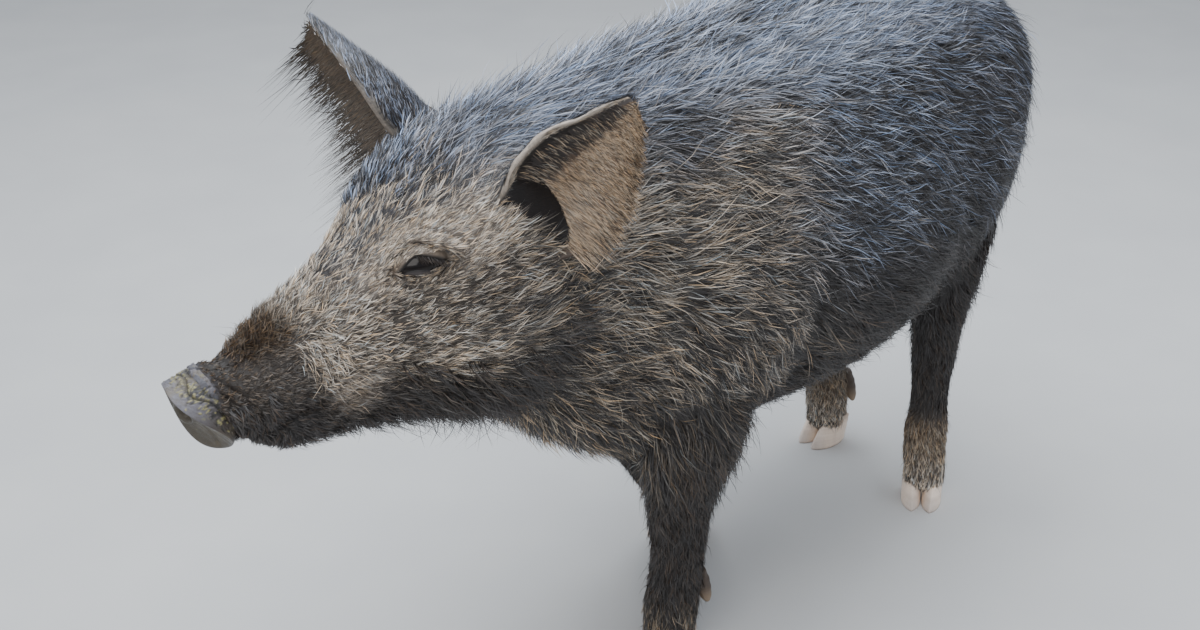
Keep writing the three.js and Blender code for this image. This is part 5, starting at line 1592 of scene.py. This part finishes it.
def even_coat(count, length, lift, lie, dark, pale, share, curl):
    """The coat's values for a number of tufts, where most of them are alike."""
    return {
        "length": length, "lift": np.full(count, lift),
        "lie": np.broadcast_to(np.array(lie, float), (count, 3)),
        "dark": np.tile(np.array(dark), (count, 1)), "pale": np.tile(np.array(pale), (count, 1)),
        "share": np.full(count, share), "curl": np.full(count, curl),
    }


def row_of_bristles(row, curl, form, spots_of, rng, **look):
    """Tufts spread along one row of a form."""
    _, angle, spread, start, end, count, lengths, lift, lie, pale, share = row
    t = (np.arange(count) + rng.random(count)) / count
    station = start + (end - start) * t
    turn = np.radians(angle + spread * np.clip(rng.normal(0, 0.5, count), -1, 1))
    at = form(station, turn)
    middle = (form(station, 0 * turn) + form(station, 0 * turn + np.pi)) / 2
    coat = even_coat(count, np.interp(t, [0, 0.5, 1], lengths), lift, lie, BLACK, pale, share, curl)
    normal = normal_at(form, station, turn, middle)
    points, colours, along = tufts(at, normal, coat, rng, **{**FRINGE_LOOK, **look})
    return points, colours, along, spots_of(at)


def fringes(rng):
    """Every piece's rows of bristle: a row for a pair of legs grows on both."""
    forms = fringe_forms()
    grown = {}
    for piece, rows in FRINGES.items():
        grown[piece] = []
        for row in rows:
            look = FINE_LOOK if piece in ("sweep", "bristles") else {}
            for name in [name for name in forms if name.startswith(row[0])]:
                grown[piece].append(row_of_bristles(row, FRINGE_CURL[piece], *forms[name], rng, **look))
    return grown


def on_ear(ear, t, front, height, inner):
    """A place at a height over one side of the ear's leaf, in the head's frame."""
    s = front * ear["fringe"]
    at = ear_points(ear, t, s, inner)
    across = ear_points(ear, t, s + 0.01, inner) - at
    up = ear_points(ear, t + 0.01, s, inner) - at
    normal = unit(np.cross(up, across))
    opening = ear_frame(ear)[3] * (1 if inner else -1)
    return at + np.where(dot(normal, opening) < 0, -normal, normal) * height[..., None]


def laid_tufts(ear, row, rng, blades=4, rings=2):
    """Blades that follow the ear's hollow, each laid over its surface from root to tip."""
    inner, ts, fronts, count, long, way, rise, pale, share, dark = row
    width, spread = (0.6, 1.6) if long else (0.4, ear["hair"] / 6)
    each = (count, blades)
    start_t, start_front = rng.uniform(*ts, (count, 1)), rng.uniform(*fronts, (count, 1))
    turn = np.arctan2(way[1], way[0]) + rng.normal(0, 0.16, (count, 1)) + rng.normal(0, 0.10, each)
    length = (long or ear["hair"]) * (1.1 - 0.3 * start_t) * rng.uniform(0.6, 1.2, each)
    tall = ear_frame(ear)[1]
    half = between(EAR_LEAF, "t", np.clip(start_t, -0.3, 0.95))["half"]
    start_t = start_t + rng.normal(0, spread, each) / tall
    start_front = start_front + rng.normal(0, spread, each) / half
    # The far ear's inner hair is darkened by its painted shade.
    pale = np.array(pale) * (ear["shade"] if inner else 1)
    coat = even_coat(count, length[:, 0], 0, (1, 0, 0), dark, pale, share, 0)
    chosen = rng.random((*each, 1, 1)) < np.clip(share + rng.normal(0, 0.25, (count, 1, 1, 1)), 0, 1)
    wide = width * np.where(chosen[..., 0, 0], 1.2, 0.9)
    lift = rise * rng.uniform(0.4, 1.3, each)
    points = []
    edges = [(u, out) for u in np.linspace(0, 1, rings + 1)[:-1] for out in (-1, 1)] + [(1.0, 0)]
    for u, out in edges:
        along, across = length * u, out * wide * (1 - 0.35 * u) / 2
        t = start_t + (np.cos(turn) * along - np.sin(turn) * across) / tall
        front = start_front + (np.sin(turn) * along + np.cos(turn) * across) / half
        points.append(on_ear(ear, t, front, -0.3 + lift * (0.4 + u) * u, inner))
    u = np.array(edges)[:, 0]
    places = np.stack([
        0.01 + 0.98 * np.clip(start_t[:, 0], 0, 1),
        (0.25 if inner else 0.75) + 0.23 * np.clip(start_front[:, 0], -1, 1),
    ], -1)
    return from_head(np.stack(points, 2)), blade_colours(coat, rng, chosen, u), u, places


def ear_coat(ear, rng):
    return [laid_tufts(ear, row, rng) for row in EAR_COAT]


def tail_coat(rng, count=900):
    """Hair round the tail, longest in the tassel at its tip."""
    t = 6 * rng.random(count) ** 0.8
    angle = rng.uniform(0, 2 * np.pi, count)
    middle, way, side, over, radius = tail_frame(t)
    normal = side * np.cos(angle)[:, None] + over * np.sin(angle)[:, None]
    at = middle + normal * (radius - INSET["tail"])[:, None]
    long = np.interp(t, [0, 3, 4.5, 6], [22, 24, 36, 50])
    coat = even_coat(count, long, 0.12, way, BLACK, TAN, 0.25, 0.16)
    points, colours, along = tufts(at, normal, coat, rng, blades=6, rings=3, width=0.75, spread=2.0)
    places = np.stack([0.01 + 0.98 * t / 6, 0.01 + 0.98 * angle / (2 * np.pi)], -1)
    return [(points, colours, along, places)]


def lashes(side, rng, count=46):
    """Dark lashes along the outer part of the upper lid, pointing out and down."""
    along = rng.uniform(-3, 17, count)
    up = between(LID_EDGE, "along", along)["upper"]
    at = from_eye(np.stack([along, up, ball_height(along, up) + 1.6], -1), side)
    origin = from_eye(np.zeros((1, 3)), side)
    out = np.tile(unit(from_eye(np.array([[0.1, -0.3, 1.0]]), side) - origin), (count, 1))
    lie = np.stack([0.35 + 0 * along, -0.9 + 0 * along, 0.2 + 0 * along], -1)
    coat = even_coat(count, np.full(count, 7.0), 0.5, from_eye(lie, side) - origin, UMBER, BROWN, 0.1, 0.15)
    points, colours, t = tufts(at, out, coat, rng, blades=2, rings=3, width=0.4, spread=0.8, clump=0.2)
    return points, colours, t, head_spots(at)


# ---------- the pig ----------


def merged(name, meshes):
    """Several meshes as one, their points in order."""
    work = bmesh.new()
    for mesh in meshes:
        work.from_mesh(mesh)
    whole = bpy.data.meshes.new(name)
    work.to_mesh(whole)
    work.free()
    whole.polygons.foreach_set("use_smooth", np.ones(len(whole.polygons), bool))
    return whole


def without(mesh, hidden):
    """A mesh without the faces whose points are all hidden."""
    work = bmesh.new()
    work.from_mesh(mesh)
    doomed = [face for face in work.faces if all(hidden[v.index] for v in face.verts)]
    bmesh.ops.delete(work, geom=doomed, context="FACES")
    made = bpy.data.meshes.new("kept")
    work.to_mesh(made)
    work.free()
    return made


def add_body():
    smooth_skin = make_skin()
    holder = bpy.data.objects.new("surface", smooth_skin)
    bpy.context.scene.collection.objects.link(holder)
    surface = BVHTree.FromObject(holder, bpy.context.evaluated_depsgraph_get())
    bpy.data.objects.remove(holder)
    kept = without(smooth_skin, under_lids(points_of(smooth_skin)))
    meshes, tones = [kept], [skin_tone(points_of(kept))]
    extras = [lid_patch(side, surface) for side in (LEFT, RIGHT)]
    extras += [ear_leaf(ear) for ear in EARS.values()] + [tail_loft()]
    for points, faces, tone in extras:
        meshes.append(make_mesh("extra", points, faces))
        tones.append(tone)
    whole = merged("skin", meshes)
    set_tone(whole, np.vstack(tones))
    flesh = [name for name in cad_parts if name.endswith("_leg") or name.startswith("ear_")]
    place("skin", whole, skin_material(), [*flesh, "torso", "neck", "head", "tail"])
    return merged("coated", meshes[:3])


def add_hard_pieces():
    wet = eye_material()
    for name, side in (("left", LEFT), ("right", RIGHT)):
        points, faces = make_eye(side)
        place(f"eyeball_{name}", make_mesh("eye", points, faces), wet, [f"eye_{name}"])
    points, faces, tone = make_disc()
    place("nose", make_mesh("nose", points, faces, tone), snout_material(), ["nose_disc"])
    horns = (
        ("hoof", make_hoof, horn_material("hoof", 0.5)),
        ("dewclaw", make_dewclaw, horn_material("dewclaw", 0.6)),
    )
    for name, leg in LEGS.items():
        for side in (LEFT, RIGHT):
            where = "outer" if side == leg["side"] else "inner"
            for part, make, horn in horns:
                points, faces, tone = make(leg, side)
                node = f"{name}_{part}_{where}"
                place(f"horn_{node}", make_mesh(node, points, faces, tone), horn, [node])


def add_coat(coated):
    rng = np.random.default_rng(SEED)
    hair = coat_material()
    grown = {**body_coat(coated, rng), **fringes(rng), "tail": tail_coat(rng)}
    grown["head_left"].append(lashes(LEFT, rng))
    grown["head_right"].append(lashes(RIGHT, rng))
    for name, ear in EARS.items():
        grown[f"ear_{name}"] = ear_coat(ear, rng)
    for name, parts in grown.items():
        place(f"coat_{name}", coat_mesh(f"coat_{name}", parts), hair)


coated_skin = add_body()
add_hard_pieces()
add_coat(coated_skin)


# ---------- light, floor and camera ----------
FLOOR = 12.0  # half its width, in metres
CAMERA = {
    "at": (1.0316, 0.9212, 1.0083), "lens": 47.97,
    "right": (-0.70592, 0.70825, 0.00811), "up": (-0.30847, -0.31772, 0.89661),
    "forward": (-0.63760, -0.63043, -0.44275),
}
LIGHTS = {  # places and sizes in metres, powers in watts
    "overhead": {
        "at": (-0.25, -0.25, 2.3), "towards": (0, 0, 0.35), "size": (2.6, 2.2), "power": 98,
        "colour": (0.90, 0.95, 1.0),
    },
    "front": {
        "at": (1.7, 1.0, 1.5), "towards": (0.1, 0, 0.35), "size": (1.6, 1.4), "power": 26,
        "colour": (1.0, 0.97, 0.93),
    },
}


def add_light(name, at, towards, size, power, colour):
    lamp = bpy.data.lights.new(name, "AREA")
    lamp.shape = "RECTANGLE"
    lamp.size, lamp.size_y = size
    lamp.energy = power
    lamp.color = colour
    holder = bpy.data.objects.new(name, lamp)
    holder.location = at
    holder.rotation_euler = (Vector(towards) - Vector(at)).to_track_quat("-Z", "Y").to_euler()
    bpy.context.scene.collection.objects.link(holder)


def add_floor():
    mesh = bpy.data.meshes.new("floor")
    corners = [(FLOOR * x, FLOOR * y, 0) for x, y in ((-1, -1), (1, -1), (1, 1), (-1, 1))]
    mesh.from_pydata(corners, [], [(0, 1, 2, 3)])
    mesh.materials.append(floor_material())
    floor = bpy.data.objects.new("floor", mesh)
    bpy.context.scene.collection.objects.link(floor)


def add_world():
    world = bpy.data.worlds.new("studio")
    world.use_nodes = True
    sky = world.node_tree.nodes["Background"]
    sky.inputs["Color"].default_value = (0.80, 0.86, 0.95, 1)
    sky.inputs["Strength"].default_value = 0.7
    bpy.context.scene.world = world


def add_camera():
    lens = bpy.data.cameras.new("camera")
    lens.lens = CAMERA["lens"]
    lens.sensor_width = 36
    camera = bpy.data.objects.new("camera", lens)
    axes = [Vector(CAMERA["right"]), Vector(CAMERA["up"]), -Vector(CAMERA["forward"])]
    turn = Matrix(axes).transposed().to_4x4()
    camera.matrix_world = Matrix.Translation(CAMERA["at"]) @ turn
    bpy.context.scene.collection.objects.link(camera)
    bpy.context.scene.camera = camera


def set_stage():
    add_floor()
    add_world()
    add_camera()
    for name, values in LIGHTS.items():
        add_light(name, **values)


set_stage()
